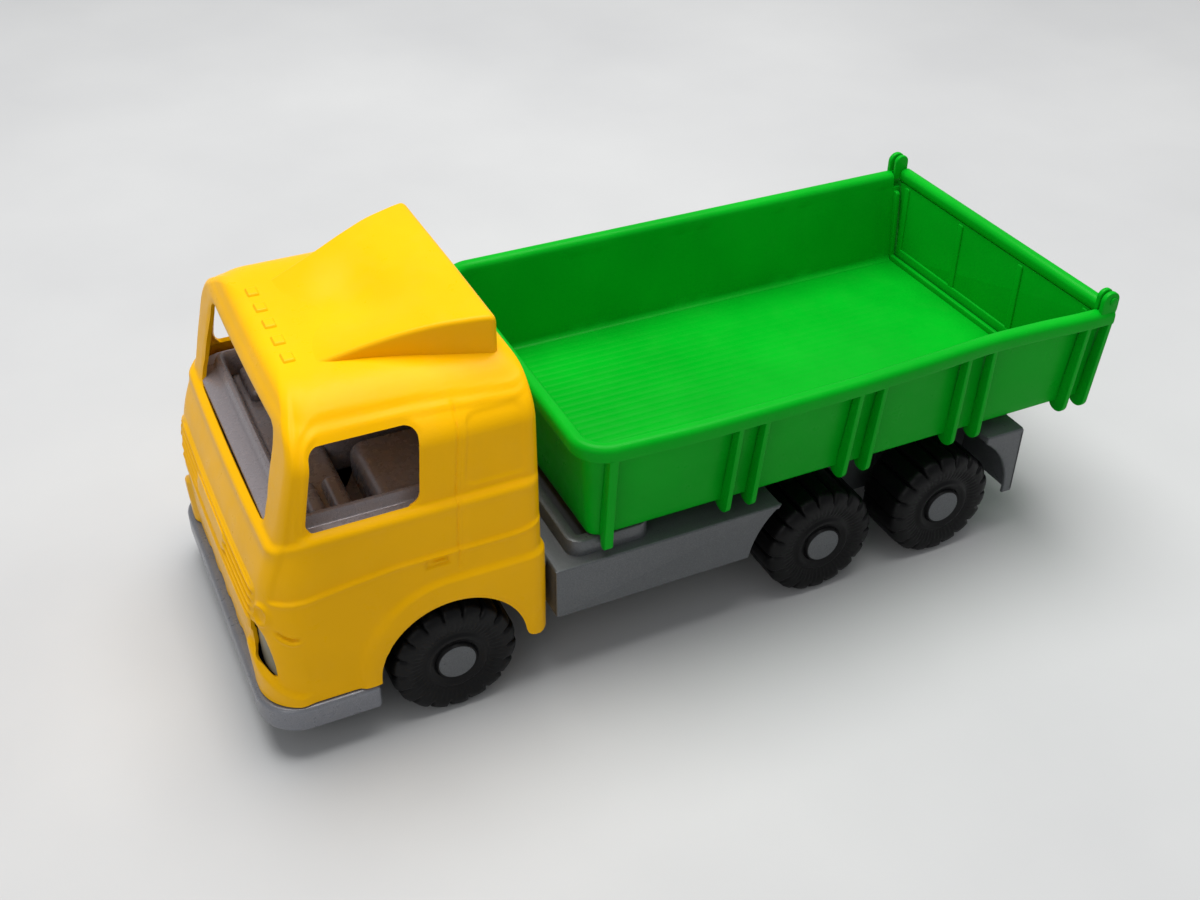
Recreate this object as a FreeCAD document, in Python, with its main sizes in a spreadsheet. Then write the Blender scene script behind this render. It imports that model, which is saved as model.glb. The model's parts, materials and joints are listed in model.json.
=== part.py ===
import FreeCAD, Part
import math
import operator
import os

import Sketcher
from fcgear import fcgear, involute

# Toy six-wheel tipper lorry. The nose faces -Y, the left side is +X and +Z is up.
# The origin is on the ground under the middle of the lorry's outer box. All sizes are in millimetres.

DIMENSIONS = {
    # wheels and axles
    "wheel_radius": 36.5, "wheel_width": 38.0, "wheel_outer_x": 106.0, "wheel_groove_count": 18.0,
    "hub_cap_radius": 11.0, "hub_cap_depth": 1.6, "hub_recess": 1.2, "hub_tube_radius": 7.0,
    "hub_tube_start": 8.0,
    "axle_radius": 2.5, "axle_reach": 98.0, "running_gap": 0.08, "front_axle_y": -162.0,
    "middle_axle_y": 73.0, "rear_axle_y": 161.5,
    # chassis
    "skirt_x": 106.0, "skirt_front_y": -102.6, "skirt_rear_y": 38.8, "skirt_bottom_z": 44.8,
    "deck_top_z": 78.4, "deck_thickness": 3.0, "wall": 3.0, "spine_x": 58.0, "spine_bottom_z": 27.0,
    "nose_deck_x": 97.0, "nose_deck_y": -252.0, "arch_radius": 53.0, "chassis_rear_y": 216.0,
    "fender_front_y": 188.0, "fender_bottom_z": 32.0, "fender_top_z": 80.8, "fender_arch_radius": 47.5,
    "block_x": 99.0, "block_front_y": -91.0, "block_rear_y": -41.0, "block_top_z": 88.6,
    "bumper_front_y": -268.0, "bumper_rear_y": -205.7, "bumper_x": 107.5, "bumper_bottom_z": 21.5,
    "bumper_top_z": 37.5, "bumper_depth": 11.0, "bumper_corner": 24.0,
    # cab
    "cab_skin": 2.6, "cab_front_y": -263.0, "cab_rear_y": -108.0, "cab_bottom_z": 38.5, "cab_x": 106.0,
    "belt_z": 114.0, "belt_step": 1.4, "roof_z": 205.0, "cab_arch_y": -162.5, "cab_arch_z": 39.4,
    "cab_arch_radius": 42.0, "flare_x": 108.0, "flare_top_z": 99.0, "deflector_top_z": 225.5,
    # bed and tailgate
    "bed_bottom_z": 88.9, "bed_floor": 3.0, "bed_wall": 2.8, "bed_bottom_x": 99.0, "bed_top_x": 105.0,
    "bed_front_y": -79.0, "bed_rear_y": 262.0, "bed_front_lean": 4.0, "rim_x": 112.0, "rim_bottom_z": 147.4,
    "rim_top_z": 156.8, "rim_front_y": -89.0, "post_thickness": 3.0, "post_foot_x": 107.0,
    "post_foot_radius": 7.0, "tip_axis_y": 206.0, "tip_axis_z": 73.5, "tip_pin_radius": 2.0,
    "tip_lug_radius": 6.0, "gate_axis_y": 258.5, "gate_axis_z": 163.4, "gate_ear_radius": 7.5,
    "gate_peg_radius": 2.5, "gate_front_y": 256.5, "gate_plate": 3.5, "gate_gap": 1.2,
    # spring motor
    "gear_module": 1.0, "pinion_teeth": 12.0, "wheel_teeth": 32.0, "drum_teeth": 36.0, "gear_face": 5.0,
    "mesh_gap": 0.12, "case_x": 19.0, "case_front_y": 92.0, "case_rear_y": 176.0, "case_bottom_z": 24.0,
    "case_top_z": 73.0, "case_skin": 2.0, "arbor_radius": 1.5, "drum_radius": 16.5, "spring_strip": 0.4,
}

doc = FreeCAD.newDocument("tipper_lorry")
nodes = {}


class Size:
    """A length that knows both its number and the sheet expression it comes from."""

    def __init__(self, number, text):
        self.number = number
        self.text = text

    def combined(self, other, symbol, action, swapped=False):
        left, right = (other, self) if swapped else (self, other)
        number = action(float(left), float(right))
        return Size(number, "(" + text_of(left) + symbol + text_of(right) + ")")

    def __float__(self):
        return float(self.number)

    def __add__(self, other):
        return self.combined(other, "+", operator.add)

    def __radd__(self, other):
        return self.combined(other, "+", operator.add, swapped=True)

    def __sub__(self, other):
        return self.combined(other, "-", operator.sub)

    def __rsub__(self, other):
        return self.combined(other, "-", operator.sub, swapped=True)

    def __mul__(self, other):
        return self.combined(other, "*", operator.mul)

    def __rmul__(self, other):
        return self.combined(other, "*", operator.mul, swapped=True)

    def __truediv__(self, other):
        return self.combined(other, "/", operator.truediv)

    def __neg__(self):
        return Size(-self.number, "(0-" + self.text + ")")


def text_of(length):
    return length.text if isinstance(length, Size) else "(" + format(float(length), ".6f") + ")"


class Dims:
    """The driving dimensions, one attribute for each cell of the sheet."""

    def __init__(self, table):
        sheet = doc.addObject("Spreadsheet::Sheet", "Dims")
        for row, (alias, value) in enumerate(table.items(), start=1):
            sheet.set("A%d" % row, alias)
            sheet.set("B%d" % row, str(value))
            sheet.setAlias("B%d" % row, alias)
            setattr(self, alias, Size(value, "Dims." + alias))
        doc.recompute()


d = Dims(DIMENSIONS)


# ---------------------------------------------------------------- general helpers

def vec(x, y, z):
    return FreeCAD.Vector(float(x), float(y), float(z))


def bind(item, **sizes):
    for prop, size in sizes.items():
        item.setExpression(prop.replace("_at_", "Placement.Base."), text_of(size))
    return item


def place(item, x=0, y=0, z=0):
    return bind(item, _at_x=x, _at_y=y, _at_z=z)


def box(name, x, y, z):
    """A block that fills the three (low, high) ranges."""
    item = doc.addObject("Part::Box", name)
    bind(item, Length=x[1] - x[0], Width=y[1] - y[0], Height=z[1] - z[0])
    return place(item, x[0], y[0], z[0])


def rod(name, radius, x, y, z, along="X"):
    """A cylinder along one axis; that axis is given as a (low, high) range, the others as numbers."""
    item = doc.addObject("Part::Cylinder", name)
    span = {"X": x, "Y": y, "Z": z}[along]
    turn = {"X": (vec(0, 1, 0), 90), "Y": (vec(1, 0, 0), -90), "Z": (vec(0, 0, 1), 0)}[along]
    item.Placement.Rotation = FreeCAD.Rotation(*turn)
    bind(item, Radius=radius, Height=span[1] - span[0])
    low = [value[0] if isinstance(value, tuple) else value for value in (x, y, z)]
    return place(item, *low)


def fuse(name, items):
    item = doc.addObject("Part::MultiFuse", name)
    item.Shapes = items
    item.Refine = True
    return item


def cut(name, base, tools):
    tool = tools[0] if len(tools) == 1 else fuse(name + "_tools", tools)
    item = doc.addObject("Part::Cut", name)
    item.Base = base
    item.Tool = tool
    item.Refine = True
    return item


def rounded(name, base, radius, chosen):
    """Round the edges of base for which chosen(edge) is true."""
    doc.recompute()
    item = doc.addObject("Part::Fillet", name)
    item.Base = base
    numbers = [n for n, edge in enumerate(base.Shape.Edges, start=1) if chosen(edge)]
    item.Edges = [(n, float(radius), float(radius)) for n in numbers]
    return item


def feature(name, shape):
    item = doc.addObject("Part::Feature", name)
    item.Shape = shape
    return item


def node(label, item):
    item.Label = label
    nodes[label] = item
    return item


def middle_of(edge):
    return edge.valueAt((edge.FirstParameter + edge.LastParameter) / 2)


def near(value, target, tolerance=0.2):
    return abs(value - float(target)) < tolerance


def mirrored_x(low, high):
    """The two x ranges that a pair of pieces fills, left then right."""
    return ((low, high), (-high, -low))


def rounded_face(corners, to_point):
    """Face inside a polygon of (u, v, radius) corners; to_point turns (u, v) into a point."""
    edges = []
    spots = [FreeCAD.Vector(float(u), float(v), 0) for u, v, _ in corners]
    joints = []
    for index, (_, _, radius) in enumerate(corners):
        here = spots[index]
        back = (spots[index - 1] - here).normalize()
        ahead = (spots[(index + 1) % len(spots)] - here).normalize()
        half_angle = back.getAngle(ahead) / 2
        reach = float(radius) / math.tan(half_angle)
        middle = here + (back + ahead).normalize() * (float(radius) / math.sin(half_angle) - float(radius))
        joints.append((here + back * reach, middle, here + ahead * reach, float(radius)))
    for index, (start, middle, end, radius) in enumerate(joints):
        last_end = joints[index - 1][2]
        if last_end.distanceToPoint(start) > 1e-6:
            ends = [to_point(spot.x, spot.y) for spot in (last_end, start)]
            edges.append(Part.LineSegment(*ends).toShape())
        if radius > 0:
            points = [to_point(spot.x, spot.y) for spot in (start, middle, end)]
            edges.append(Part.Arc(*points).toShape())
    return Part.Face(Part.Wire(edges))


def side_prism(corners, x_low, x_high):
    """Extrude a (y, z, radius) outline from x_low to x_high."""
    face = rounded_face(corners, lambda y, z: vec(x_low, y, z))
    return face.extrude(vec(float(x_high) - float(x_low), 0, 0))


def front_prism(corners, y_low, y_high):
    """Extrude an (x, z, radius) outline from y_low to y_high."""
    face = rounded_face(corners, lambda x, z: vec(x, y_low, z))
    return face.extrude(vec(0, float(y_high) - float(y_low), 0))


def plan_prism(corners, z_low, z_high):
    """Extrude an (x, y, radius) outline from z_low to z_high."""
    face = rounded_face(corners, lambda x, y: vec(x, y, z_low))
    return face.extrude(vec(0, 0, float(z_high) - float(z_low)))


def x_cylinder(radius, x_low, x_high, y, z):
    return Part.makeCylinder(float(radius), float(x_high) - float(x_low), vec(x_low, y, z), vec(1, 0, 0))


def rectangle(u_low, u_high, v_low, v_high, radius=0):
    """The corners of a rounded rectangle, for the prisms."""
    corners = [(u_low, v_low), (u_high, v_low), (u_high, v_high), (u_low, v_high)]
    return [(u, v, radius) for u, v in corners]


def union(shapes):
    whole = shapes[0].fuse(shapes[1:])
    return whole.removeSplitter()


def single(shape):
    """The one solid of a shape, without the compound around it."""
    assert len(shape.Solids) == 1, "expected one solid"
    return shape.Solids[0]


# ---------------------------------------------------------------- sketches and bodies

def new_body(label):
    return node(label, doc.addObject("PartDesign::Body", label))


def origin_item(body, role):
    return next(item for item in body.Origin.OriginFeatures if item.Role == role)


def new_sketch(body, name, plane):
    sketch = body.newObject("Sketcher::SketchObject", name)
    sketch.AttachmentSupport = (origin_item(body, plane), [""])
    sketch.MapMode = "FlatFace"
    return sketch


def fix_coordinate(sketch, kind, line, size):
    """Hold the start of a line at a signed distance from the sketch's origin."""
    axis = {"DistanceX": -2, "DistanceY": -1}[kind]
    value = float(size)
    if abs(value) < 1e-9:
        sketch.addConstraint(Sketcher.Constraint("PointOnObject", line, 1, axis))
        return
    ends = (-1, 1, line, 1) if value > 0 else (line, 1, -1, 1)
    number = sketch.addConstraint(Sketcher.Constraint(kind, *ends, abs(value)))
    if isinstance(size, Size):
        sketch.setExpression("Constraints[%d]" % number, text_of(size if value > 0 else -size))


def polygon(sketch, points):
    """A closed outline with every corner held at its (x, y)."""
    first = sketch.GeometryCount
    count = len(points)
    for index, (x, y) in enumerate(points):
        next_x, next_y = points[(index + 1) % count]
        sketch.addGeometry(Part.LineSegment(vec(x, y, 0), vec(next_x, next_y, 0)), False)
    for index, (x, y) in enumerate(points):
        following = first + (index + 1) % count
        sketch.addConstraint(Sketcher.Constraint("Coincident", first + index, 2, following, 1))
        fix_coordinate(sketch, "DistanceX", first + index, x)
        fix_coordinate(sketch, "DistanceY", first + index, y)


def circle(sketch, radius):
    """A circle about the sketch's origin."""
    index = sketch.addGeometry(Part.Circle(vec(0, 0, 0), vec(0, 0, 1), float(radius)), False)
    sketch.addConstraint(Sketcher.Constraint("Coincident", index, 3, -1, 1))
    number = sketch.addConstraint(Sketcher.Constraint("Radius", index, float(radius)))
    sketch.setExpression("Constraints[%d]" % number, text_of(radius))


def turned(body, name, points):
    """Revolve an outline of (radius, height) points about the body's Z axis."""
    sketch = new_sketch(body, name + "_outline", "XZ_Plane")
    polygon(sketch, points)
    solid = body.newObject("PartDesign::Revolution", name)
    solid.Profile = sketch
    solid.ReferenceAxis = (sketch, ["V_Axis"])
    solid.Angle = 360
    return solid


# ---------------------------------------------------------------- wheels, hub caps and axles

def wheel_body(label):
    """A moulded wheel, its axis on Z, inner face at z = 0 and outer face towards +Z."""
    body = new_body(label)
    width = d.wheel_width
    radius = d.wheel_radius
    face = width - d.hub_recess
    turned(body, label + "_blank", [
        (d.axle_radius, d.hub_tube_start), (d.axle_radius, face), (d.hub_cap_radius + 0.4, face),
        (d.hub_cap_radius + 0.8, width - 0.2), (radius * 0.42, width - 0.6), (radius * 0.45, width),
        (radius * 0.50, width), (radius * 0.54, width - 1.2), (radius * 0.74, width - 1.0),
        (radius * 0.86, width - 2.0), (radius * 0.95, width - 5.5), (radius, width - 9.5),
        (radius, 7.5), (radius * 0.96, 2.0), (radius * 0.91, 0), (radius * 0.82, 0),
        (radius * 0.80, width - 8), (d.hub_tube_radius, width - 7), (d.hub_tube_radius, d.hub_tube_start)])
    doc.recompute()
    notch = new_sketch(body, label + "_groove_outline", "XZ_Plane")
    polygon(notch, [
        (radius * 0.80, width + 1), (radius * 0.80, width - 2.2), (radius * 0.93, width - 7.5),
        (radius * 0.93, 6.5), (radius * 0.89, -1), (radius + 2, -1), (radius + 2, width + 1)])
    groove = body.newObject("PartDesign::Pocket", label + "_groove")
    groove.Profile = notch
    groove.Midplane = True
    groove.Length = 3.4
    doc.recompute()
    pattern = body.newObject("PartDesign::PolarPattern", label + "_grooves")
    pattern.Originals = [groove]
    pattern.Axis = (origin_item(body, "Z_Axis"), [""])
    pattern.Angle = 360
    pattern.setExpression("Occurrences", "Dims.wheel_groove_count")
    body.Tip = pattern
    return body


def hub_cap_body(label):
    """A flat disc with a short spigot that grips the end of the axle."""
    body = new_body(label)
    turned(body, label + "_disc", [
        (0, 0), (d.hub_cap_radius - 0.6, 0), (d.hub_cap_radius, 0.5),
        (d.hub_cap_radius, d.hub_cap_depth - 0.4),
        (d.hub_cap_radius - 0.5, d.hub_cap_depth), (0, d.hub_cap_depth)])
    return body


def axle_body(label, y):
    """A steel rod across the lorry through both spine webs."""
    body = new_body(label)
    sketch = new_sketch(body, label + "_section", "YZ_Plane")
    circle(sketch, d.axle_radius)
    pad = body.newObject("PartDesign::Pad", label + "_rod")
    pad.Profile = sketch
    pad.Midplane = True
    pad.setExpression("Length", text_of(d.axle_reach * 2))
    place(body, 0, y, d.wheel_radius)
    return body


def to_side(body, side, x, y):
    """Stand a turned body on its side with its outer face towards the given side (+1 left, -1 right)."""
    lug_down = 180.0 / DIMENSIONS["wheel_groove_count"]
    spin = FreeCAD.Rotation(FreeCAD.Vector(0, 0, 1), lug_down)
    body.Placement.Rotation = FreeCAD.Rotation(FreeCAD.Vector(0, 1, 0), 90 * side).multiply(spin)
    place(body, x * side, y, d.wheel_radius)


AXLES = {"front": d.front_axle_y, "middle": d.middle_axle_y, "rear": d.rear_axle_y}
SIDES = {"left": 1, "right": -1}


def make_axle_sets():
    for axle, y in AXLES.items():
        axle_body(axle + "_axle", y)
        for side, sign in SIDES.items():
            wheel = wheel_body(axle + "_wheel_" + side)
            to_side(wheel, sign, d.wheel_outer_x - d.wheel_width, y)
            cap = hub_cap_body(axle + "_hub_cap_" + side)
            to_side(cap, sign, d.wheel_outer_x - d.hub_recess, y)


# ---------------------------------------------------------------- chassis

DECK_SCREWS = ((70.0, -248.0), (-70.0, -248.0), (70.0, -119.0), (-70.0, -119.0))
MOTOR_SCREWS = ((13.0, 108.0), (-13.0, 158.0))
TIP_LUG_X = (40.0, 45.0)
NOSE_FLOOR_Z = (28.0, 31.0)


def nose_prism(inset, back, back_radius, z_low, z_high):
    """A block with the bumper's plan outline, moved inwards by inset and cut square at its back."""
    side, front = d.bumper_x - inset, d.bumper_front_y + inset
    corner = d.bumper_corner - inset
    outline = [(-side, back, back_radius), (-side, front, corner), (side, front, corner),
               (side, back, back_radius)]
    return plan_prism(outline, z_low, z_high)


def bumper_ring():
    """A bar that wraps the nose, open at its back, with a floor across it."""
    back = d.bumper_rear_y
    outer = nose_prism(0.0, back, 4, d.bumper_bottom_z, d.bumper_top_z)
    inner = nose_prism(d.bumper_depth, back + 5, 0, d.bumper_bottom_z - 1, d.bumper_top_z + 1)
    ring = outer.cut(inner)
    outer_edges = [edge for edge in ring.Edges if is_bumper_rim(edge)]
    floor = nose_prism(2.0, back - 1, 0, *NOSE_FLOOR_Z)
    return union([ring.makeFillet(2.0, outer_edges), floor])


def is_bumper_rim(edge):
    spot = middle_of(edge)
    flat = near(spot.z, d.bumper_top_z) or near(spot.z, d.bumper_bottom_z)
    front = near(spot.y, d.bumper_front_y)
    side = near(abs(spot.x), d.bumper_x) and spot.y > float(d.bumper_front_y + d.bumper_corner)
    corner_y = spot.y < float(d.bumper_front_y + d.bumper_corner)
    reach = math.hypot(abs(spot.x) - float(d.bumper_x - d.bumper_corner),
                       spot.y - float(d.bumper_front_y + d.bumper_corner))
    corner = corner_y and near(reach, d.bumper_corner)
    return flat and (front or side or corner)


def make_chassis():
    deck = (d.deck_top_z - d.deck_thickness, d.deck_top_z)
    skirt = (d.skirt_bottom_z, d.deck_top_z)
    spine = (d.spine_bottom_z, d.deck_top_z - 1)
    fender = (d.fender_bottom_z, d.fender_top_z)
    rear = d.chassis_rear_y
    pieces = [
        box("nose_deck", (-d.nose_deck_x, d.nose_deck_x), (d.nose_deck_y, d.skirt_front_y + 1), deck),
        box("middle_deck", (-d.skirt_x, d.skirt_x), (d.skirt_front_y, d.skirt_rear_y + 6), deck),
        box("rear_deck", (-d.spine_x, d.spine_x), (d.skirt_rear_y, rear), deck),
        box("skirt_front", (-d.skirt_x, d.skirt_x), (d.skirt_front_y, d.skirt_front_y + d.wall), skirt),
        box("block", (-d.block_x, d.block_x), (d.block_front_y, d.block_rear_y),
            (d.deck_top_z - 1, d.block_top_z)),
        box("fender_deck", (-d.skirt_x, d.skirt_x), (d.fender_front_y, rear), (deck[0], d.fender_top_z)),
        box("rear_panel", (-d.skirt_x, d.skirt_x), (rear - d.wall, rear), fender),
        box("spine_nose", (-d.spine_x, d.spine_x), (d.nose_deck_y, d.nose_deck_y + d.wall), spine),
        box("spine_tail", (-d.spine_x, d.spine_x), (rear - 36, rear - 36 + d.wall), (60, d.deck_top_z - 1)),
    ]
    for side, sign in SIDES.items():
        web = mirrored_x(d.spine_x - d.wall, d.spine_x)[0 if sign > 0 else 1]
        wall = mirrored_x(d.skirt_x - d.wall, d.skirt_x)[0 if sign > 0 else 1]
        pieces.append(box("web_" + side, web, (d.nose_deck_y, rear), spine))
        pieces.append(box("skirt_" + side, wall, (d.skirt_front_y, d.skirt_rear_y + 6), skirt))
        pieces.append(box("fender_" + side, wall, (d.fender_front_y, rear), fender))
        for axle, y in AXLES.items():
            boss_x = mirrored_x(d.spine_x - 8, d.spine_x + 4)[0 if sign > 0 else 1]
            pieces.append(rod(axle + "_bearing_" + side, d.axle_radius + 4, boss_x, y, d.wheel_radius))
    pieces.append(feature("bumper", bumper_ring()))
    solid = fuse("chassis_solid", pieces)
    everything = (-d.skirt_x - 1, d.skirt_x + 1)
    tools = [
        rod("middle_arch", d.arch_radius, everything, d.middle_axle_y, d.wheel_radius),
        rod("rear_arch", d.fender_arch_radius, everything, d.rear_axle_y, d.wheel_radius),
    ]
    outside = cut("arch_cutters", fuse("arches", tools), [
        box("arch_keep", (-d.spine_x - 4.5, d.spine_x + 4.5), (-50, 260), (0, 120))])
    holes = [
        box("block_recess", (7 - d.block_x, d.block_x - 7), (d.block_front_y + 7, d.block_rear_y - 7),
            (d.deck_top_z + 1.5, d.block_top_z + 1)),
        rod("pin_bore", d.tip_pin_radius, (-d.spine_x - 5, d.spine_x + 5), d.tip_axis_y, d.tip_axis_z),
    ]
    for axle, y in AXLES.items():
        holes.append(rod(axle + "_bore", d.axle_radius + d.running_gap,
                         (-d.spine_x - 5, d.spine_x + 5), y, d.wheel_radius))
    for number, (x, y) in enumerate(DECK_SCREWS + MOTOR_SCREWS):
        holes.append(rod("screw_hole_%d" % number, 1.7, x, y, (70, 82), along="Z"))
    for side, sign in SIDES.items():
        slot_x = mirrored_x(TIP_LUG_X[0] - 2, TIP_LUG_X[1] + 2)[0 if sign > 0 else 1]
        holes.append(box("lug_slot_" + side, slot_x, (d.tip_axis_y - 10, rear + 1), (d.tip_axis_z - 10, 90)))
    rough = cut("chassis_rough", solid, [outside] + holes)
    node("chassis_frame", rounded("chassis_frame", rough, 2.2, is_skirt_corner))


def is_skirt_corner(edge):
    """Upright corners of the skirts, the block and the rear panel."""
    if edge.Length < 4 or edge.Curve.TypeId != "Part::GeomLine":
        return False
    start, end = edge.Vertexes[0].Point, edge.Vertexes[-1].Point
    if abs(end.z - start.z) < 4 or abs(end.x - start.x) + abs(end.y - start.y) > 0.01:
        return False
    on_front = near(start.y, d.skirt_front_y) and near(abs(start.x), d.skirt_x)
    on_block_end = near(start.y, d.block_front_y) or near(start.y, d.block_rear_y)
    on_block = near(abs(start.x), d.block_x) and on_block_end
    on_rear = near(start.y, d.chassis_rear_y) and near(abs(start.x), d.skirt_x)
    return on_front or on_block or on_rear


# ---------------------------------------------------------------- screws and pins

def screw_shape(x, y, z, length, direction, radius=1.5, head_radius=3.0, head=2.0):
    """A pan-head screw: its head's underside is at (x, y, z) and its shank runs along direction."""
    start = vec(x, y, z)
    shank = Part.makeCylinder(radius, length, start, direction)
    cap = Part.makeCylinder(head_radius, head, start - direction * head, direction)
    rim = [edge for edge in cap.Edges if edge.Curve.TypeId == "Part::GeomCircle"
           and edge.CenterOfMass.distanceToPoint(start - direction * head) < 0.01]
    socket = Part.makeCylinder(1.1, 1.1, start - direction * head, direction)
    return union([cap.makeFillet(0.7, rim), shank]).cut(socket)


def screw_group(label, spots, z, length, direction):
    shapes = [screw_shape(x, y, z, length, direction) for x, y in spots]
    return node(label, feature(label, Part.makeCompound(shapes)))


def make_fasteners():
    up, down = vec(0, 0, 1), vec(0, 0, -1)
    screw_group("cab_screws", DECK_SCREWS, d.deck_top_z - d.deck_thickness, 14.0, up)
    screw_group("motor_mount_screws", MOTOR_SCREWS, d.deck_top_z, 10.0, down)
    pin = rod("bed_hinge_pin", d.tip_pin_radius, (-d.spine_x - 1, d.spine_x + 1), d.tip_axis_y, d.tip_axis_z)
    node("bed_hinge_pin", pin)


# ---------------------------------------------------------------- cab

ROOF_DEPTH = 8.0
LIGHT_OUTLINE = [(79, 60, 2.5), (97.6, 54, 2.5), (97.6, 71, 3), (92, 85, 4), (80, 87.5, 3)]
LIGHT_DEPTH = 3.5


def cab_section(z, front_y, half_width, corner, inset):
    """A rounded outline of the cab at height z, moved inwards by inset."""
    x = float(half_width) - inset
    front = float(front_y) + inset
    rear = float(d.cab_rear_y) - inset
    radius = max(corner - inset, 1.5)
    rear_radius = max(9.0 - inset, 1.5)
    corners = [(-x, front, radius), (x, front, radius), (x, rear, rear_radius), (-x, rear, rear_radius)]
    return rounded_face(corners, lambda u, v: vec(u, v, z)).OuterWire


def roof_shoulders(inset):
    """The cab's front view: upright walls under a broad shoulder that rises to the flat of the roof."""
    shoulder = [(101.2, 170, 0), (99, 186, 28), (86, 198.8, 28), (62, float(d.roof_z) + 0.2, 60)]
    right = [(x - inset, z - inset, radius) for x, z, radius in shoulder]
    left = [(-x, z, radius) for x, z, radius in reversed(right)]
    foot = [(-112, 170 - inset, 0), (-112, 0, 0), (112, 0, 0), (112, 170 - inset, 0)]
    return front_prism(right + left + foot, -300, 0)


def cab_volume(inset, bottom_z):
    """The cab's outer form, or the space inside it: a ruled loft with a rounded roof on top."""
    wide, step = float(d.cab_x), float(d.belt_step)
    front, roof = float(d.cab_front_y), float(d.roof_z)
    roof_edge = roof - ROOF_DEPTH
    levels = [
        (bottom_z, front, wide - 1.0, 22.0), (85.0, front + 0.5, wide, 22.0),
        (float(d.belt_z), front + 6.0, wide - 0.3, 22.0),
        (float(d.belt_z) + 1.6, front + 7.2, wide - step, 22.0),
        (138.0, front + 14.5, wide - step - 0.8, 21.0), (roof_edge, front + 28.5, 100.8, 20.0)]
    wires = [cab_section(z, y, half, corner, inset) for z, y, half, corner in levels]
    solid = Part.makeLoft(wires, True, True)
    lid = Part.Face(wires[-1]).extrude(vec(0, 0, ROOF_DEPTH - inset))
    rim = [edge for edge in lid.Edges if near(edge.BoundBox.ZMin, roof - inset, 0.01)]
    return union([solid, lid.makeFillet(ROOF_DEPTH - 1 - inset, rim)]).common(roof_shoulders(inset))


def deflector_volume(inset):
    """The air deflector on the roof, or the space inside it."""
    top = float(d.deflector_top_z) - inset
    base = float(d.roof_z) - 4
    side = side_prism([
        (-208 + 2 * inset, base, 0), (-206 + 2 * inset, base + 4, 0), (-170, base + 16.5 - inset, 60),
        (-132, top, 12), (-118.5 - inset, top, 3), (-116.5 - inset, base, 0)], -80, 80)
    plan = plan_prism([
        (-58 + inset, -210, 0), (58 - inset, -210, 0), (67 - inset, -160, 40), (66 - inset, -110, 0),
        (-66 + inset, -110, 0), (-67 + inset, -160, 40)], base - 1, top + 20)
    return side.common(plan)


def flares():
    """The raised lower sides around the front wheels."""
    bottom, top = d.cab_bottom_z, d.flare_top_z
    rear = d.cab_rear_y
    outline = [(-217, bottom, 0), (-213, top, 46), (rear, top, 0), (rear, bottom, 0)]
    return [side_prism(outline, *span) for span in mirrored_x(float(d.cab_x) - 6, float(d.flare_x))]


def cab_cutters():
    """Everything that opens the cab's skin: windows, headlights, wheel arches and room for the chassis."""
    everything = (-150, 150)
    arch_y, arch_z, arch = float(d.cab_arch_y), float(d.cab_arch_z), float(d.cab_arch_radius)
    windscreen = front_prism([(-75, 138, 7), (75, 138, 7), (71.5, 190, 8), (-71.5, 190, 8)], -275, -210)
    window_outline = [(-232.6, 147.2, 5), (-173.7, 146.8, 6), (-169.5, 190.2, 7), (-224, 191.6, 8)]
    window = side_prism(window_outline, *everything)
    arches = [x_cylinder(arch, *everything, arch_y, arch_z),
              side_prism([(arch_y - arch, 0, 0), (arch_y + arch, 0, 0), (arch_y + arch, arch_z, 0),
                          (arch_y - arch, arch_z, 0)], *everything)]
    front = d.cab_front_y
    lights = [front_prism(outline, front - 4, front + 20) for outline in light_outlines(0.0)]
    deck_room = Part.makeBox(196, 12, float(d.deck_top_z) + 0.1, vec(-98, float(d.cab_rear_y) - 6, 0))
    return [windscreen, window, deck_room] + arches + lights


def make_cab():
    skin = float(d.cab_skin)
    bottom = float(d.cab_bottom_z)
    outer = union([cab_volume(0.0, bottom), deflector_volume(0.0)] + flares())
    inner = union([cab_volume(skin, 10.0), deflector_volume(skin)])
    shell = outer.cut(inner).cut(Part.makeCompound(cab_cutters()))
    bosses = []
    for x, y in DECK_SCREWS:
        post = Part.makeCylinder(5, 40, vec(x, y, float(d.deck_top_z) + 0.1))
        back = Part.makeBox(3, 9, 40, vec(x - 1.5, y - 9 if y < -200 else y, float(d.deck_top_z) + 0.1))
        bosses += [post, back.common(outer)]
    shell = union([shell] + bosses)
    for x, y in DECK_SCREWS:
        shell = shell.cut(Part.makeCylinder(1.5, 30, vec(x, y, d.deck_top_z)))
    node("cab_shell", feature("cab_shell", single(shell)))


def light_outlines(gap):
    """Both headlights' front views, gap inside their openings: left side of the lorry first."""
    middle_x, middle_z = 89.0, 71.0
    left = []
    for x, z, radius in LIGHT_OUTLINE:
        left.append((x + math.copysign(gap, middle_x - x), z + math.copysign(gap, middle_z - z), radius))
    return [left, [(-x, z, radius) for x, z, radius in reversed(left)]]


def make_headlights():
    """A grey insert behind each headlight opening, curved like the cab's corner that it sits in."""
    front = float(d.cab_front_y)
    room = float(d.cab_skin) + 0.2
    layer = cab_volume(room, 40.0).cut(cab_volume(room + LIGHT_DEPTH, 30.0))
    for side, outline in zip(SIDES, light_outlines(0.5)):
        lens = layer.common(front_prism(outline, front, front + 20))
        node("headlight_" + side, feature("headlight_" + side, single(lens)))


def tub_block(inset, z_low, z_high):
    """A block with the interior tub's plan outline, moved inwards by inset."""
    side, front, rear = 95.5 - inset, -242.5 + inset, -126 - inset
    corner, rear_corner = max(15 - inset, 4), max(5 - inset, 2)
    right = [(side, front, corner), (side, rear, rear_corner)]
    left = [(-x, y, radius) for x, y, radius in reversed(right)]
    return plan_prism(right + left, z_low, z_high)


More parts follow.
